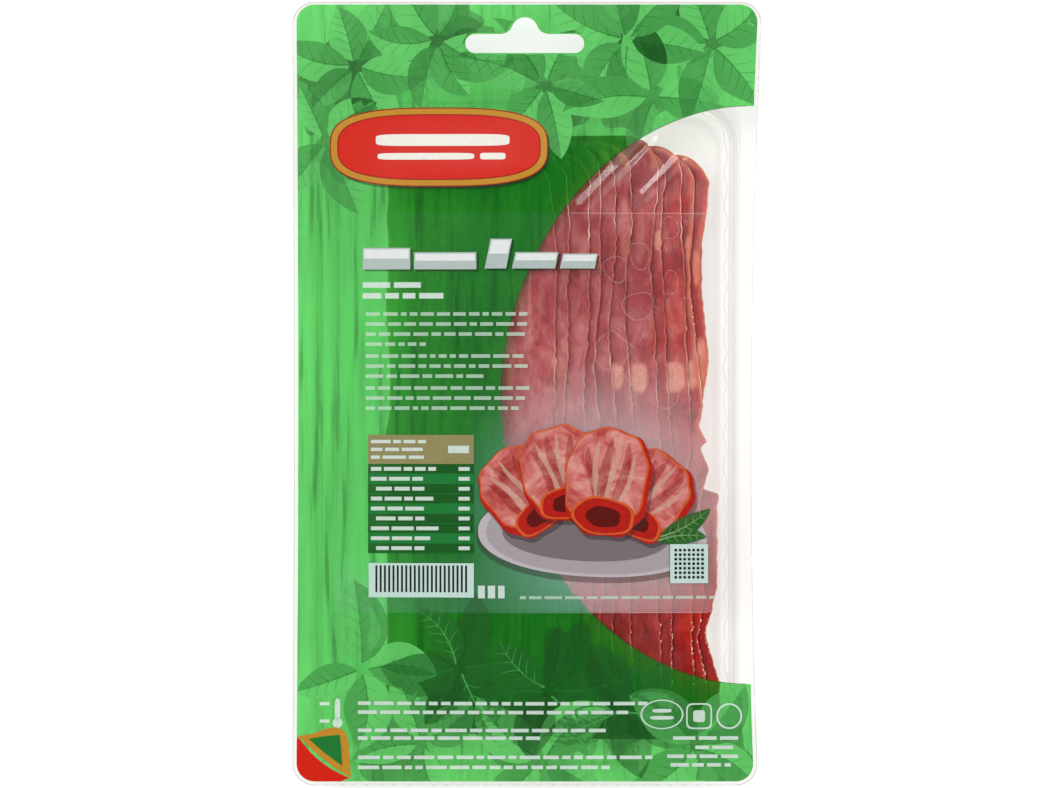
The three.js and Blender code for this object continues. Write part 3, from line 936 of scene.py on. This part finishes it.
def textBlocks():
    # three paragraphs of plain dashes, and a line and three short bars under the picture
    patches = []
    rows = [21.4, 18.7, 16.0, 13.3, 10.1, 7.4, 4.7, 1.5, -1.2, -3.9]
    ends = [1.0, 0.2, 0.6, -27.0, 1.0, 0.4, -10.0, 0.8, 0.6, -2.0]
    for i, (y, end) in enumerate(zip(rows, ends)):
        patches += words(-43.2, end, y, 0.95, 200 + i, (1.4, 5.2, 0.85), 0.04, "textInk")
    patches += words(-1.7, 51.0, -54.8, 0.8, 230, (1.6, 5.0, 0.8), 0.06, "textInk")
    return patches + words(-13.0, -5.5, -53.3, 3.4, 231, (1.7, 2.0, 0.8), 0.06, "white")


def table():
    # dark green rows under a gold heading, with pale dashes for entries
    left, right, top, foot = -42.6, -14.1, -18.9, -42.9
    patches = [
        (*bar(left, right, top, -11.1), 0.03, "goldFlat"),
        (*bar(left, right, foot, top), 0.03, "tableDark"),
    ]
    for i, (y, end) in enumerate(((-12.9, -27.0), (-15.0, -27.5), (-17.1, -26.0))):
        patches += words(-41.8, end, y, 0.9, 240 + i, (2.0, 7.0, 0.7), 0.05, "white")
    patches.append((*bar(-21.0, -15.4, -16.0, -14.0), 0.05, "white"))
    height = 24.0 / 9
    for i in range(9):
        y = top - height * (i + 0.5)
        edge = y - height / 2
        if i % 3 == 1:
            patches.append((*bar(left, right, edge, y + height / 2), 0.045, "tableMid"))
        inset = 1.4 if i % 3 == 2 else 0.0
        end = -23.0 - 2.2 * (i % 3)
        patches += words(-41.8 + inset, end, y, 1.0, 250 + i, (2.0, 6.0, 0.7), 0.06, "white")
        patches.append((*bar(-18.2, -15.2, y - 0.5, y + 0.5), 0.06, "white"))
        patches.append((*bar(left, right, edge - 0.07, edge + 0.07), 0.055, "tableMid"))
    return patches


def stripesBox():
    # a pale box with even stripes, and a pale square with an even grid of dots
    patches = [(*bar(-42.4, -14.1, -54.8, -45.6), 0.03, "boxWhite")]
    for x in np.arange(-40.6, -16.0, 1.15):
        patches.append((*bar(x, x + 0.55, -53.4, -46.2), 0.05, "black"))
    patches.append((*bar(38.7, 48.9, -51.0, -40.5), 0.4, "boxWhite"))
    for x in np.linspace(40.2, 47.4, 7):
        for y in np.linspace(-49.4, -42.1, 7):
            patches.append((*disc(x, y, 0.42, 0.42, 2.0, count=10, rings=2), 0.43, "black"))
    return patches


def picture():
    # a serving plate with four rolled slices side by side and two bay leaves
    dish = {"power": 2.2, "turn": -0.05, "count": 80}
    patches = [
        (*disc(17.5, -39.6, 31.0, 11.2, rings=10, **dish), 0.02, "plateShade"),
        (*disc(17.8, -38.2, 30.8, 11.0, rings=10, **dish), 0.045, "plate"),
        (*disc(17.8, -38.2, 30.8, 11.0, rings=3, inner=0.93, **dish), 0.06, "plateRim"),
        (*disc(16.0, -37.8, 22.5, 7.2, 2.2, turn=-0.05, count=64, rings=8), 0.06, "plateShade"),
    ]
    slices = ((-1.0, -26.5, 10.5, 12.0, 0.7), (9.5, -21.5, 11.0, 12.5, 0.25),
              (33.0, -27.5, 11.5, 12.0, -0.6), (22.0, -24.0, 11.5, 14.5, -0.15))
    for i, (cx, cy, a, b, turn) in enumerate(slices):
        patches += rolledSlice(i, cx, cy, a, b, turn, 0.08 + 0.06 * i)
    patches += leaf((36.0, -38.5), (49.5, -31.0), 2.6, -0.12, "herb", "herbLight", 0.33)
    return patches + leaf((35.5, -39.5), (48.5, -38.6), 2.4, 0.14, "herb", "herbLight", 0.33)


def rolledSlice(i, cx, cy, a, b, turn, lift):
    # dark shadow, red underside, orange cut edge, pink face with soft folds, and the dark end of the roll
    shape = {"power": 2.5, "turn": turn, "count": 80, "ruffle": 0.025, "folds": 9, "start": 1.3 * i}
    patches = [
        (*disc(cx + 0.7, cy - 1.2, a, b, rings=6, **shape), lift, "plateShade"),
        (*disc(cx, cy, a, b, rings=8, **shape), lift + 0.008, "sliceRed"),
        (*disc(cx - 0.5, cy + 1.2, a * 0.95, b * 0.93, rings=8, **shape), lift + 0.015, "sliceEdge"),
        (*disc(cx - 0.6, cy + 1.3, a * 0.91, b * 0.89, rings=8, **shape), lift + 0.022, "sliceInk"),
    ]
    c, s = math.cos(turn), math.sin(turn)
    t = np.linspace(-1, 1, 15)
    # place across the slice, half length, half width
    folds = ((-6.2, 8.0, 1.0), (-4.2, 10.0, 0.7), (-1.2, 11.5, 1.3), (1.0, 11.8, 0.6), (4.2, 10.5, 1.2),
             (6.8, 8.0, 0.5))
    for j, (dx, reach, width) in enumerate(folds):
        x = dx * (0.45 + 0.55 * (t + 1) / 2) + 0.7 * np.sin(2.6 * t + i + j)
        y = 0.6 + reach * t * b / 14
        path = np.column_stack([cx + x * c - y * s, cy + x * s + y * c])
        half = width * (1 - t * t) ** 0.6 + 0.05
        patches.append((*band(path, half, columns=3), lift + 0.03 + 0.002 * j,
                        "sliceFat" if j % 2 else "sliceFold"))
    rollX, rollY = cx + 0.62 * b * s, cy - 0.62 * b * c
    for grow, key, up in ((1.0, "sliceEdge", 0.044), (0.9, "sliceRed", 0.048), (0.55, "sliceCore", 0.052)):
        patches.append((*disc(rollX, rollY - 0.5 * (1 - grow), 0.74 * a * grow, 0.35 * b * grow, 2.2,
                              turn=turn, count=48, rings=4, ruffle=0.03, folds=5, start=i), lift + up, key))
    return patches


def foliage():
    # bay sprigs across the top and the foot of the pack, on the film
    draw = np.random.default_rng(11)
    gaps, blades = [], []
    fresh = (("leafOpen", "leafMid"), ("leafOpen", "leafShade"), ("leafLight", "leafMid"))
    dim = (("leafShade", "leafLight"), ("leafShade", "leafMid"), ("leafDark", "leafShade"))
    # cluster: place, number of leaves, number of dark gaps behind them, tones of blade and veins
    clusters = [(-46, 88, 6, 3, fresh), (-24, 95, 6, 3, fresh), (5, 83, 6, 2, fresh), (27, 95, 6, 3, fresh),
                (50, 94, 5, 2, fresh), (-54, 68, 4, 1, fresh), (34, 80, 4, 1, fresh),
                (-44, -74, 4, 0, fresh), (-18, -74, 6, 1, dim), (6, -80, 6, 2, dim), (26, -85, 5, 1, dim),
                (-28, -94, 4, 1, fresh), (46, -95, 4, 1, fresh), (4, -99, 4, 1, fresh)]
    number = 0
    for cx, cy, count, dark, tones in clusters:
        for i in range(dark):
            gaps.append((*disc(cx + draw.uniform(-7, 7), cy + draw.uniform(-7, 7), draw.uniform(8, 13),
                               draw.uniform(6, 10), 2.0, turn=draw.uniform(0, 3), count=60, rings=9,
                               ruffle=0.16, folds=5, start=draw.uniform(0, 6)), 0.11 + 0.01 * i, "leafDark"))
        spin = draw.uniform(0, 2 * math.pi)
        for i in range(count):
            heading = spin + 2 * math.pi * i / count + draw.uniform(-0.3, 0.3)
            length = draw.uniform(16, 25)
            dx, dy = math.cos(heading), math.sin(heading)
            field, vein = tones[number % 3]
            blades += leaf((cx + 1.5 * dx, cy + 1.5 * dy), (cx + length * dx, cy + length * dy),
                           length * draw.uniform(0.22, 0.32), draw.uniform(-0.25, 0.25), field, vein,
                           0.15 + 0.02 * (number % 6))
            number += 1
    kept = []
    for flat, faces, lift, key in gaps + blades:
        flat, outside = pullTo(flat, printEdge, True)
        flat, inHole = pullTo(flat, slotLoop(0.3), False)
        lost = outside | inHole
        faces = [face for face in faces if not lost[face].all() and not overSlot(flat[face])]
        if faces:
            kept.append((flat, faces, lift, key))
    return kept


def overSlot(corners):
    # whether the middle of a face or of one of its edges lies in the hang slot
    middles = np.vstack([corners.mean(0), (corners + np.roll(corners, -1, axis=0)) / 2])
    return insideLoop(middles, slotLoop(0.15)).any()


def pullTo(flat, loop, keepInside):
    # points on the wrong side of a loop move to its nearest point
    wrong = insideLoop(flat, loop) != keepInside
    if wrong.any():
        closed = np.vstack([loop, loop[:1]])
        dense = np.vstack([closed[:-1] + (closed[1:] - closed[:-1]) * s for s in np.linspace(0, 1, 7)[:-1]])
        nearest = apart(flat[wrong], dense).argmin(1)
        flat = flat.copy()
        flat[wrong] = dense[nearest]
    return flat, wrong


def footMarks():
    # dashes, plain rings and a pill-and-disc sign at the foot of the pack
    lift, sizes = 0.3, (1.8, 6.0, 0.9)
    patches = []
    rows = ((-83.3, 32.8), (-85.7, 27.4), (-90.6, 23.9), (-92.7, 3.7), (-97.9, 33.9), (-100.6, 22.5))
    for i, (y, end) in enumerate(rows):
        patches += words(-45.3, end, y, 0.95, 270 + i, sizes, lift, "white")
    for i, (y, start) in enumerate(((-92.7, 39.5), (-95.2, 45.5), (-97.6, 37.9), (-99.9, 38.8))):
        patches += words(start, 57.0, y, 0.95, 280 + i, sizes, lift, "white")
    # place, half sizes, power, points round it, rings, open middle
    for cx, cy, a, b, power, count, rings, inner in (
            (36.5, -86.3, 5.8, 4.0, 2.0, 48, 2, 0.92), (46.5, -86.8, 3.5, 3.5, 5.0, 40, 2, 0.88),
            (46.5, -86.8, 1.6, 1.6, 5.0, 24, 3, 0.0), (54.6, -86.8, 3.5, 3.5, 2.0, 40, 2, 0.86),
            (36.5, -85.3, 2.6, 0.5, 4.0, 20, 3, 0.0), (36.5, -87.2, 3.2, 0.5, 4.0, 20, 3, 0.0),
            (-50.8, -85.0, 0.75, 3.0, 3.0, 24, 4, 0.0), (-50.8, -88.6, 1.35, 1.35, 2.0, 24, 3, 0.0)):
        patches.append((*disc(cx, cy, a, b, power, count=count, rings=rings, inner=inner), lift, "white"))
    for y in (-83.9, -88.6):
        patches.append((*bar(-55.6, -53.0, y, y + 0.9), lift, "white"))
    return patches


def peelCorner():
    # red corner with a gold fold and a green flap, where the film is to be pulled
    rim = printRing()
    arc = curve((-61.4, -92.3), (-47.6, -103.4), -0.16, 20)
    low = rim[(rim[:, 0] < -47.6) & (rim[:, 1] < -92.3)]
    low = low[np.argsort(np.arctan2(low[:, 1] + 80, low[:, 0] + 40))]
    count = 20
    outer = np.column_stack([np.interp(np.linspace(0, 1, count), np.linspace(0, 1, len(low)), low[:, i])
                             for i in range(2)])
    rows = [outer * (1 - s) + arc * s for s in np.linspace(0, 1, 6)]
    points = np.vstack(rows)
    patches = [(points, gridFaces(6, count).tolist(), 0.3, "red")]
    fold = np.array([(-61.4, -92.2), (-57.4, -91.5), (-54.0, -90.2), (-51.0, -89.8), (-48.9, -90.8),
                     (-47.9, -93.2), (-47.6, -97.6), (-47.2, -103.5), (-52.0, -100.4), (-57.0, -96.4)])
    flap = np.array([(-58.6, -92.9), (-54.6, -92.2), (-50.2, -91.8), (-49.8, -95.0), (-49.5, -100.2),
                     (-54.2, -96.8)])
    for corners, lift, key in ((fold, 0.34, "gold"), (flap, 0.38, "tableMid")):
        count = len(corners)
        middle = corners.mean(0) + [1.2, 0.8]
        fan = [[i, (i + 1) % count, count] for i in range(count)]
        patches.append((np.vstack([corners, [middle]]), fan, lift, key))
    return patches


def sealLine():
    # the wavy inner edge of the seal, just inside the mouth
    loop = floorRing(tray["sealInside"])
    run = np.concatenate([[0], np.cumsum(np.linalg.norm(np.diff(loop, axis=0), axis=1))])
    total = run[-1] + np.linalg.norm(loop[0] - loop[-1])
    place = np.linspace(0, total, 700, endpoint=False)
    closed = np.vstack([loop, loop[:1]])
    runs = np.append(run, total)
    x, y = np.interp(place, runs, closed[:, 0]), np.interp(place, runs, closed[:, 1])
    path = np.column_stack([x, y])
    side = headings(path, True)[1]
    periods = round(total / 8.8)
    path = path + side * (0.36 * np.sin(2 * math.pi * periods * place / total))[:, None]
    path = np.roll(path, len(path) // 2, axis=0)
    seen = (path[:, 0] > 30) & ~insideLoop(path, printEdge)
    return [(*band(path[seen], 0.1), 0.03, "seal")]


def windowLine():
    # a thin dark line along the print's border round the window
    arc = windowArc()
    inside = insideLoop(arc, printRing())
    return [(*band(arc[inside], 0.13), 0.02, "shadow")]


def contactLines():
    # darker patches where the film clings to the meat, with thin pale outlines that are painted highlights
    patches = []
    for cx, cy, a, b, turn in ((30.4, 37.1, 2.6, 3.7, 0.2), (38.7, 29.8, 2.0, 3.3, -0.15),
                               (30.1, 23.6, 4.2, 3.6, 0.3), (38.6, 44.5, 2.4, 3.0, 0.0),
                               (24.0, 33.5, 3.0, 3.6, 0.5)):
        shape = {"power": 2.3, "turn": turn, "count": 44, "ruffle": 0.07, "folds": 3, "start": cx}
        patches.append((*disc(cx, cy, a, b, rings=2, inner=0.955, **shape), 0.05, "clingLine"))
        patches.append((*disc(cx, cy, a * 0.95, b * 0.95, rings=4, **shape), 0.04, "clingPatch"))
    loop = np.array([(18.5, 9.0), (18.9, 14.0), (23.0, 17.2), (28.6, 12.6), (27.0, 9.8), (24.8, 6.2),
                     (21.0, 6.6)])
    patches.append((*closedBand(loop, 0.09), 0.05, "clingLine"))
    angle = np.linspace(math.pi, 2 * math.pi, 24)
    arc = np.column_stack([37.4 + 3.6 * np.cos(angle), -0.2 + 3.8 * np.sin(angle)])
    patches.append((*band(arc, 0.09), 0.05, "clingLine"))
    return patches


def labelLines():
    # the label's cut edge catches a little light
    loop = ring(label["half"] - 0.12, label["top"] - 0.12, label["bottom"] + 0.12, label["corner"], 0.0)
    loop = np.roll(loop, len(loop) // 4, axis=0)
    seen = (loop[:, 0] > 4) & ~((loop[:, 1] < 0) & (loop[:, 0] < 24)) & ~insideLoop(loop, printEdge)
    return [(*band(loop[seen], 0.1), 0.012, "clingLine")]


onFilm = {"seal_line": sealLine, "window_edge": windowLine, "print_leaves": foliage, "print_plaque": plaque,
          "print_foot_marks": footMarks, "peel_corner": peelCorner, "film_contact_lines": contactLines}
onLabel = {"label_edge": labelLines, "print_title": titleBars, "print_text": textBlocks,
           "print_table": table, "print_picture": picture, "print_boxes": stripesBox}
for name, shapes in onFilm.items():
    printPiece(name, filmTop, shapes())
for name, shapes in onLabel.items():
    printPiece(name, labelTop, shapes())

# The slices

bacon = {
    "thickness": 1.18,
    "pitch": 1.5,
    "ridge": 1.0,
    "leftStep": 3.9,
    "rightEdges": [49.2, 45.7, 43, 37.6, 34.9, 27.9, 23.6, 19.6, 16.6, 11, 7.5],
    "top": 69.3,
    "bottom": -93.6,
    "lowestShorter": 4.3,
    "shorterSlices": 3.5,
    "fullSlices": 4,        # from this slice on, the upper ends fall back towards the left
    "lastShorter": 5.0,
    "lastHigher": 2.4,
    "corner": 9.0,
    "wander": 0.75,
    "lowerShift": 2.2,
    "wallLift": 5.5,
    "rippleHeight": 0.7,
    "rippleLength": 46,
    "endTaper": 0.07,
    "endWander": 0.8,
    "roundEdge": 0.7,
    "cell": 0.75,           # rows along a slice
    "fineCell": 0.6,        # columns near its right edge
    "fineReach": 14.0,
    "coarseCell": 2.0,
}
# measured outline of the two lowest slices: height along the pack, then the right edge
outlines = [
    [(-78.5, 52.4), (-71.2, 50.3), (-65.5, 48.7), (-62.8, 49.2), (-58.5, 50.5), (-52.0, 51.8), (-30.8, 51.8),
     (-27.2, 52.3), (-26.6, 50.6), (-25.8, 47.4), (-16.0, 46.4), (-8.0, 46.2), (-3.6, 47.6), (8.5, 49.7),
     (18.0, 48.7), (28.2, 47.6), (40.6, 47.6), (49.4, 49.1), (57.0, 49.7), (66.0, 49.0)],
    [(-78.5, 49.0), (-66.0, 46.4), (-58.0, 48.0), (-40.0, 48.6), (-30.0, 47.0), (-26.2, 47.9), (-20.6, 49.5),
     (-15.4, 47.4), (-14.4, 47.4), (-13.0, 49.2), (-12.0, 48.4), (-9.0, 46.8), (-3.6, 47.9), (4.0, 47.2),
     (12.0, 46.2), (20.0, 45.4), (28.0, 44.6), (36.0, 44.4), (46.0, 45.4), (60.0, 45.6)],
]
# rounded spots of fat: slice, centre, half sizes
fatSpots = [
    (5, 24.3, 4.6, 1.9, 3.6), (4, 30.4, 4.4, 2.3, 4.0), (2, 39.6, 4.5, 3.5, 4.2), (1, 44.6, 5.0, 1.5, 4.0),
    (0, 47.4, 8.6, 1.5, 6.6), (3, 35.8, 41.5, 1.2, 2.6),
    (1, 44.4, 39.0, 1.1, 4.2), (0, 46.2, 34.0, 0.9, 5.0),
]


def leftEdge(k):
    return bacon["ridge"] - k * bacon["leftStep"]


def rightEdge(k, y):
    count = len(bacon["rightEdges"])
    share = 1 - k / count
    wander = np.sin(y / 13 + 0.6 * k) + 0.5 * np.sin(y / 6.5 + 1.4 * k)
    shift = share * bacon["lowerShift"] * smoothStep((15 - y) / 50)
    fine = 0.25 * wavesAlong(y, 40 + k, 6.5) + 0.22 * wavesAlong(y, 60 + k, 2.2)
    if k < len(outlines):
        height, edge = np.array(outlines[k]).T
        return np.interp(y, height, edge) + 0.5 * fine
    return bacon["rightEdges"][k] + bacon["wander"] * wander + shift + fine


def sliceHeight(k, x, y):
    # underside of slice k: it climbs over the left edges of those below it, then lies on them all
    along = (y - bacon["bottom"]) / (bacon["top"] - bacon["bottom"])
    taper = 1 - bacon["endTaper"] * np.abs(2 * along - 1) ** 4
    below = np.minimum(k, np.maximum(0, (x - leftEdge(k)) / bacon["leftStep"]))
    towardsWall = np.maximum(0, x - bacon["ridge"]) / (bacon["rightEdges"][0] - bacon["ridge"])
    lift = bacon["wallLift"] * towardsWall ** 1.6
    fromLeft = smoothStep((x - leftEdge(len(bacon["rightEdges"]) - 1)) / 40)
    turn = 2 * math.pi * y / bacon["rippleLength"] + x / 24
    ripple = 0.5 * bacon["rippleHeight"] * (1 + np.sin(turn)) * fromLeft
    return tray["sheet"] + 0.3 + taper * bacon["pitch"] * below + lift + ripple * taper


def rimWidth(k, y):
    # the thin rim on a slice's right edge is a little wider in a few places
    width = 0.24 + 0.08 * wavesAlong(y, 80 + k, 7)
    for centre, spread, extra in ((38, 5, 0.25), (12, 5, 0.2), (-66, 8, 0.22)):
        width = width + extra * np.exp(-((y - centre - 2 * math.sin(k)) / spread) ** 2)
    return np.maximum(0.1, width)


def paleness(k, y):
    # the rim is cream near the top end and beside the fat spots, and orange brown elsewhere
    upper = smoothStep((y - 42 - 3 * math.sin(2.1 * k)) / 5) * smoothStep((66 - y) / 4)
    middle = np.exp(-((y - 0.5 - 2.5 * math.sin(1.3 * k)) / 8.5) ** 2)
    return np.clip(0.04 + upper + 0.8 * middle, 0, 1) * (0.75 + 0.3 * wavesAlong(y, 95 + k, 5))


def sliceNet(k):
    # places over a slice in rows along it, closer together near its edges, with the distance from its right
    # edge and from its nearest edge
    last = len(bacon["rightEdges"]) - 1
    full = bacon["fullSlices"]
    shorter = bacon["lowestShorter"] * math.sqrt(max(0, 1 - k / bacon["shorterSlices"]))
    shorter += bacon["lastShorter"] * (max(0, k - full) / (last - full)) ** 1.3
    top = bacon["top"] - shorter + bacon["endWander"] * math.sin(3.7 * k)
    bottom = bacon["bottom"] + bacon["lastHigher"] * k / last + bacon["endWander"] * math.sin(2.9 * k + 1)
    corner = bacon["corner"]
    rim = bacon["roundEdge"] * (1 - np.cos(np.linspace(0, math.pi / 2, 6)))
    inner = np.linspace(bottom + rim[-1], top - rim[-1], int((top - bottom) / bacon["cell"]))
    y = np.concatenate([bottom + rim[:-1], inner, top - rim[:-1][::-1]])[:, None]
    toEnd = np.maximum(0, corner - np.minimum(y - bottom, top - y))
    pull = corner - np.sqrt(corner ** 2 - toEnd ** 2)
    right = rightEdge(k, y) - pull
    left = leftEdge(k) + pull + 0.9 * wavesAlong(y, 150 + k, 34) + 0.3 * wavesAlong(y, 170 + k, 7)
    wide = bacon["rightEdges"][k] - leftEdge(k) - 2 * rim[-1]
    fineStart = wide - bacon["fineReach"]
    share = np.concatenate([np.arange(0, fineStart, bacon["coarseCell"]),
                            np.arange(fineStart, wide, bacon["fineCell"]), [wide]]) / wide
    middle = left + rim[-1] + (right - left - 2 * rim[-1]) * share[None, :]
    x = np.hstack([left + rim[:-1], middle, right - rim[:-1][::-1]])
    y = np.broadcast_to(y, x.shape)
    fromRight = right - x
    inset = np.minimum(np.minimum(x - left, fromRight), np.minimum(y - bottom, top - y))
    return x, y, fromRight, inset


def fatMarks(k, x, y, fromRight, inset):
    # share of fat, and of that the share of warmer fat
    spots = 0 * x
    for number, cx, cy, a, b in fatSpots:
        if number == k:
            near = (np.abs((x - cx) / a) ** 3 + np.abs((y - cy) / b) ** 3) ** (1 / 3)
            spots = np.maximum(spots, smoothStep((1.12 + 0.06 * waves(x, y, 17, 5) - near) / 0.3))
    rind = smoothStep((-13 - x + 1.5 * waves(x, y, 21, 18)) / 9)
    streak = 0.5 * smoothStep((waves(x * 2.5, y * 0.5, 31 + k % 3, 17) - 0.55) / 0.3)
    streak = streak * (1 - 0.9 * smoothStep((-50 - y) / 8))
    topFat = smoothStep((2.1 + 0.9 * waves(x, y, 12, 10) - inset) / 1.6) * smoothStep((y - 59) / 6)
    sideFat = 0.0
    if k < 2:
        sideFat = smoothStep((1.5 + 0.5 * waves(x, y, 14, 12) - fromRight) / 1.0)
        sideFat = sideFat * (0.55 + 0.35 * wavesAlong(y, 98 + k, 17)) * smoothStep((y + 50) / 8)
    swirl = 0.45 * smoothStep((waves(x, y, 44, 7) - 0.1) / 0.5)
    swirl = swirl * np.exp(-((x - 6) / 7) ** 2 - ((y - 8) / 9) ** 2)
    warm = np.clip(np.maximum(0.85 * topFat, sideFat * 1.3) + (0.45 if k == 0 else 0.0), 0, 1)
    fat = np.maximum(np.maximum(0.9 * spots, 0.8 * rind), np.maximum(0.5 * streak, 0.8 * topFat))
    return np.clip(np.maximum(np.maximum(fat, sideFat), swirl), 0, 1), warm


def sliceMarks(k, x, y, fromRight, inset):
    # numbers between 0 and 1 that the meat's material reads
    fat, warm = fatMarks(k, x, y, fromRight, inset)
    rim = (0.85 - 0.45 * smoothStep((-52 - y) / 8)) * smoothStep((rimWidth(k, y) - fromRight) / 0.2)
    creamRind = 0.75 * smoothStep((-24 - x + 2 * waves(x, y, 23, 25)) / 12)
    # deep red towards the right, and most of all at the foot, where brine has gathered
    right = smoothStep((x - 31) / 7)
    foot = smoothStep((-38 - y) / 18)
    deep = 0.42 + 0.25 * smoothStep((38 - y) / 8) * smoothStep((y - 8) / 8) + 0.12 * waves(x, y, 140, 19)
    deep = np.clip(np.maximum(right * deep, foot * (0.5 + 0.5 * smoothStep((x - 36) / 8))), 0, 1)
    # painted shade along the edge of the slice above, together with darker wet meat where brine gathers in
    # the step
    step = 0 * x
    if k < len(bacon["rightEdges"]) - 1:
        fromAbove = x - rightEdge(k + 1, y)
        uneven = 0.5 + 0.35 * wavesAlong(y, 120 + k, 9) + 0.15 * waves(x, y, 130 + k, 3)
        step = np.exp(-np.maximum(0, fromAbove) / 0.9) * (fromAbove > -1.5) * np.clip(uneven, 0.1, 1)
    return {"fat": fat, "rim": np.maximum(rim, creamRind), "deep": deep,
            "pale": np.maximum(paleness(k, y), creamRind), "warm": warm, "step": step}


def bothSides(upper, lower):
    # the upper net's points, then those of the lower net that aren't on the outline they share
    tail = upper.shape[2:]
    return np.concatenate([upper.reshape(-1, *tail), lower[1:-1, 1:-1].reshape(-1, *tail)])


def slicePiece(k):
    # a pillow: the slice's middle surface, with half the thickness that falls to nothing round its outline
    x, y, fromRight, inset = sliceNet(k)
    reach = 1 - np.clip(inset / bacon["roundEdge"], 0, 1)
    half = 0.5 * bacon["thickness"] * np.sqrt(np.maximum(0, 1 - reach ** 2))
    centre = sliceHeight(k, x, y) + 0.5 * bacon["thickness"]
    relief = 0.08 * waves(x, y, 5, 11)
    points = bothSides(*(np.stack([x, y, centre + side * half + relief], axis=2) for side in (1, -1)))
    index = np.arange(x.size).reshape(x.shape)
    under = index.copy()
    hidden = under[1:-1, 1:-1]
    hidden[:] = x.size + np.arange(hidden.size).reshape(hidden.shape)
    grid = gridFaces(*x.shape)
    faces = np.vstack([index.ravel()[grid], under.ravel()[grid][:, ::-1]])
    values = {key: bothSides(field, field) for key, field in sliceMarks(k, x, y, fromRight, inset).items()}
    uv = np.stack([fromRight / 100 + 0.37 * k, y / 100 + 0.05 * math.sin(1.7 * k)], axis=2)
    number = f"{k + 1:02d}"
    makePiece(f"slice_{number}", points, faces, [materials["meat"]], [f"bacon_slice_{number}"],
              uv=bothSides(uv, uv), values=values)


for k in range(len(bacon["rightEdges"])):
    slicePiece(k)
print("slices", len(bacon["rightEdges"]))


# Beads of brine along the slices' edges near their foot, and a few higher up; their pale colour is a painted
# glint

def beads():
    draw = np.random.default_rng(29)
    turn, rise = np.meshgrid(np.arange(6) * math.pi / 3, np.linspace(-1.2, 1.2, 4))
    ball = np.stack([np.cos(turn) * np.cos(rise), np.sin(turn) * np.cos(rise), np.sin(rise)], axis=2)
    ball = ball.reshape(-1, 3)
    ballFaces = gridFaces(4, 6, wrapColumns=True).tolist() + [[5, 4, 3, 2, 1, 0], [18, 19, 20, 21, 22, 23]]
    points, faces = [], []
    spots = [(k, draw.uniform(-79, -61)) for k in (0, 0, 1, 1, 2, 2, 3, 3, 4, 5) for i in range(18)]
    spots += [(k, draw.uniform(12, 26)) for k in (1, 1, 2) for i in range(8)]
    for k, y in spots:
        at = np.array([float(rightEdge(k, np.array([y]))[0]) - draw.uniform(-0.1, 0.5), y])
        z = float(sliceHeight(k, at[:1], at[1:])[0]) + bacon["thickness"] * draw.uniform(0.6, 0.95)
        size = draw.uniform(0.09, 0.22)
        start = len(ball) * len(points)
        points.append(ball * [size, size * draw.uniform(0.8, 2.2), size] + [at[0], at[1], z])
        faces += [[start + i for i in face] for face in ballFaces]
    makePiece("brine_beads", np.vstack(points), faces, [materials["brine"]])
    print("beads", len(points))


beads()


# Stage, light and camera

stage = {
    "floor": "#A8A8A8",
    "floorSize": 3.0,
    "floorGlow": 0.64,      # the floor is a light table
    "worldStrength": 1.15,
    "zenithDark": 0.06,
    "horizonDark": 0.45,
    "distance": 1.1825,
    "lens": 150.0,
    "aim": (0.00019, -0.00011),
}
softboxes = {
    # place, size and power
    "key_softbox": ((-0.42, 0.38, 1.1), (0.8, 0.5), 6.0),
    "side_softbox": ((0.75, 0.1, 0.8), (0.3, 0.6), 3.0),
}


def addFloor():
    half = stage["floorSize"] / 2
    mesh = bpy.data.meshes.new("floor")
    corners = [(-half, -half, -0.0002), (half, -half, -0.0002), (half, half, -0.0002), (-half, half, -0.0002)]
    mesh.from_pydata(corners, [], [(0, 1, 2, 3)])
    floor = addObject("floor", mesh)
    material, tree, out = newMaterial("light_table")
    paper = addNode(tree, "ShaderNodeBsdfPrincipled", {
        "Base Color": colour(stage["floor"]), "Roughness": 0.9, "Specular IOR Level": 0.1,
        "Emission Color": colour("#FFFFFF"), "Emission Strength": stage["floorGlow"]})
    tree.links.new(paper.outputs[0], out.inputs["Surface"])
    material.cycles.emission_sampling = "NONE"
    mesh.materials.append(material)


def addWorld():
    # a white tent, darker near its foot, with an opening overhead where the camera looks in
    world = bpy.data.worlds.new("tent")
    bpy.context.scene.world = world
    world.use_nodes = True
    tree = world.node_tree
    tree.nodes.clear()
    heading = addNode(tree, "ShaderNodeTexCoord").outputs["Generated"]
    way = addNode(tree, "ShaderNodeSeparateXYZ", {}, {0: heading})
    opening = addNode(tree, "ShaderNodeValToRGB",
                      {"ramp": [(0.0, stage["horizonDark"]), (0.5, 1.0), (0.86, 1.0),
                                (0.95, stage["zenithDark"])]},
                      {"Fac": way.outputs["Z"]})
    light = addNode(tree, "ShaderNodeBackground", {"Strength": stage["worldStrength"]},
                    {"Color": opening.outputs["Color"]})
    out = tree.nodes.new("ShaderNodeOutputWorld")
    tree.links.new(light.outputs[0], out.inputs["Surface"])


def addSoftbox(name, place, size, power):
    data = bpy.data.lights.new(name, "AREA")
    data.shape = "RECTANGLE"
    data.size, data.size_y = size
    data.energy = power
    lamp = addObject(name, data)
    lamp.location = place
    lamp.rotation_euler = (-Vector(place)).to_track_quat("-Z", "Y").to_euler()


def addCamera():
    data = bpy.data.cameras.new("camera")
    data.lens = stage["lens"]
    data.sensor_width = 36.0
    data.clip_end = 10.0
    camera = addObject("camera", data)
    camera.location = (*stage["aim"], film["lift"] * mm + stage["distance"])
    bpy.context.scene.camera = camera


addFloor()
addWorld()
for name, settings in softboxes.items():
    addSoftbox(name, *settings)
addCamera()
bpy.context.scene.view_settings.view_transform = "Standard"
bpy.context.scene.cycles.transparent_max_bounces = 32
print("stage, lights and camera")
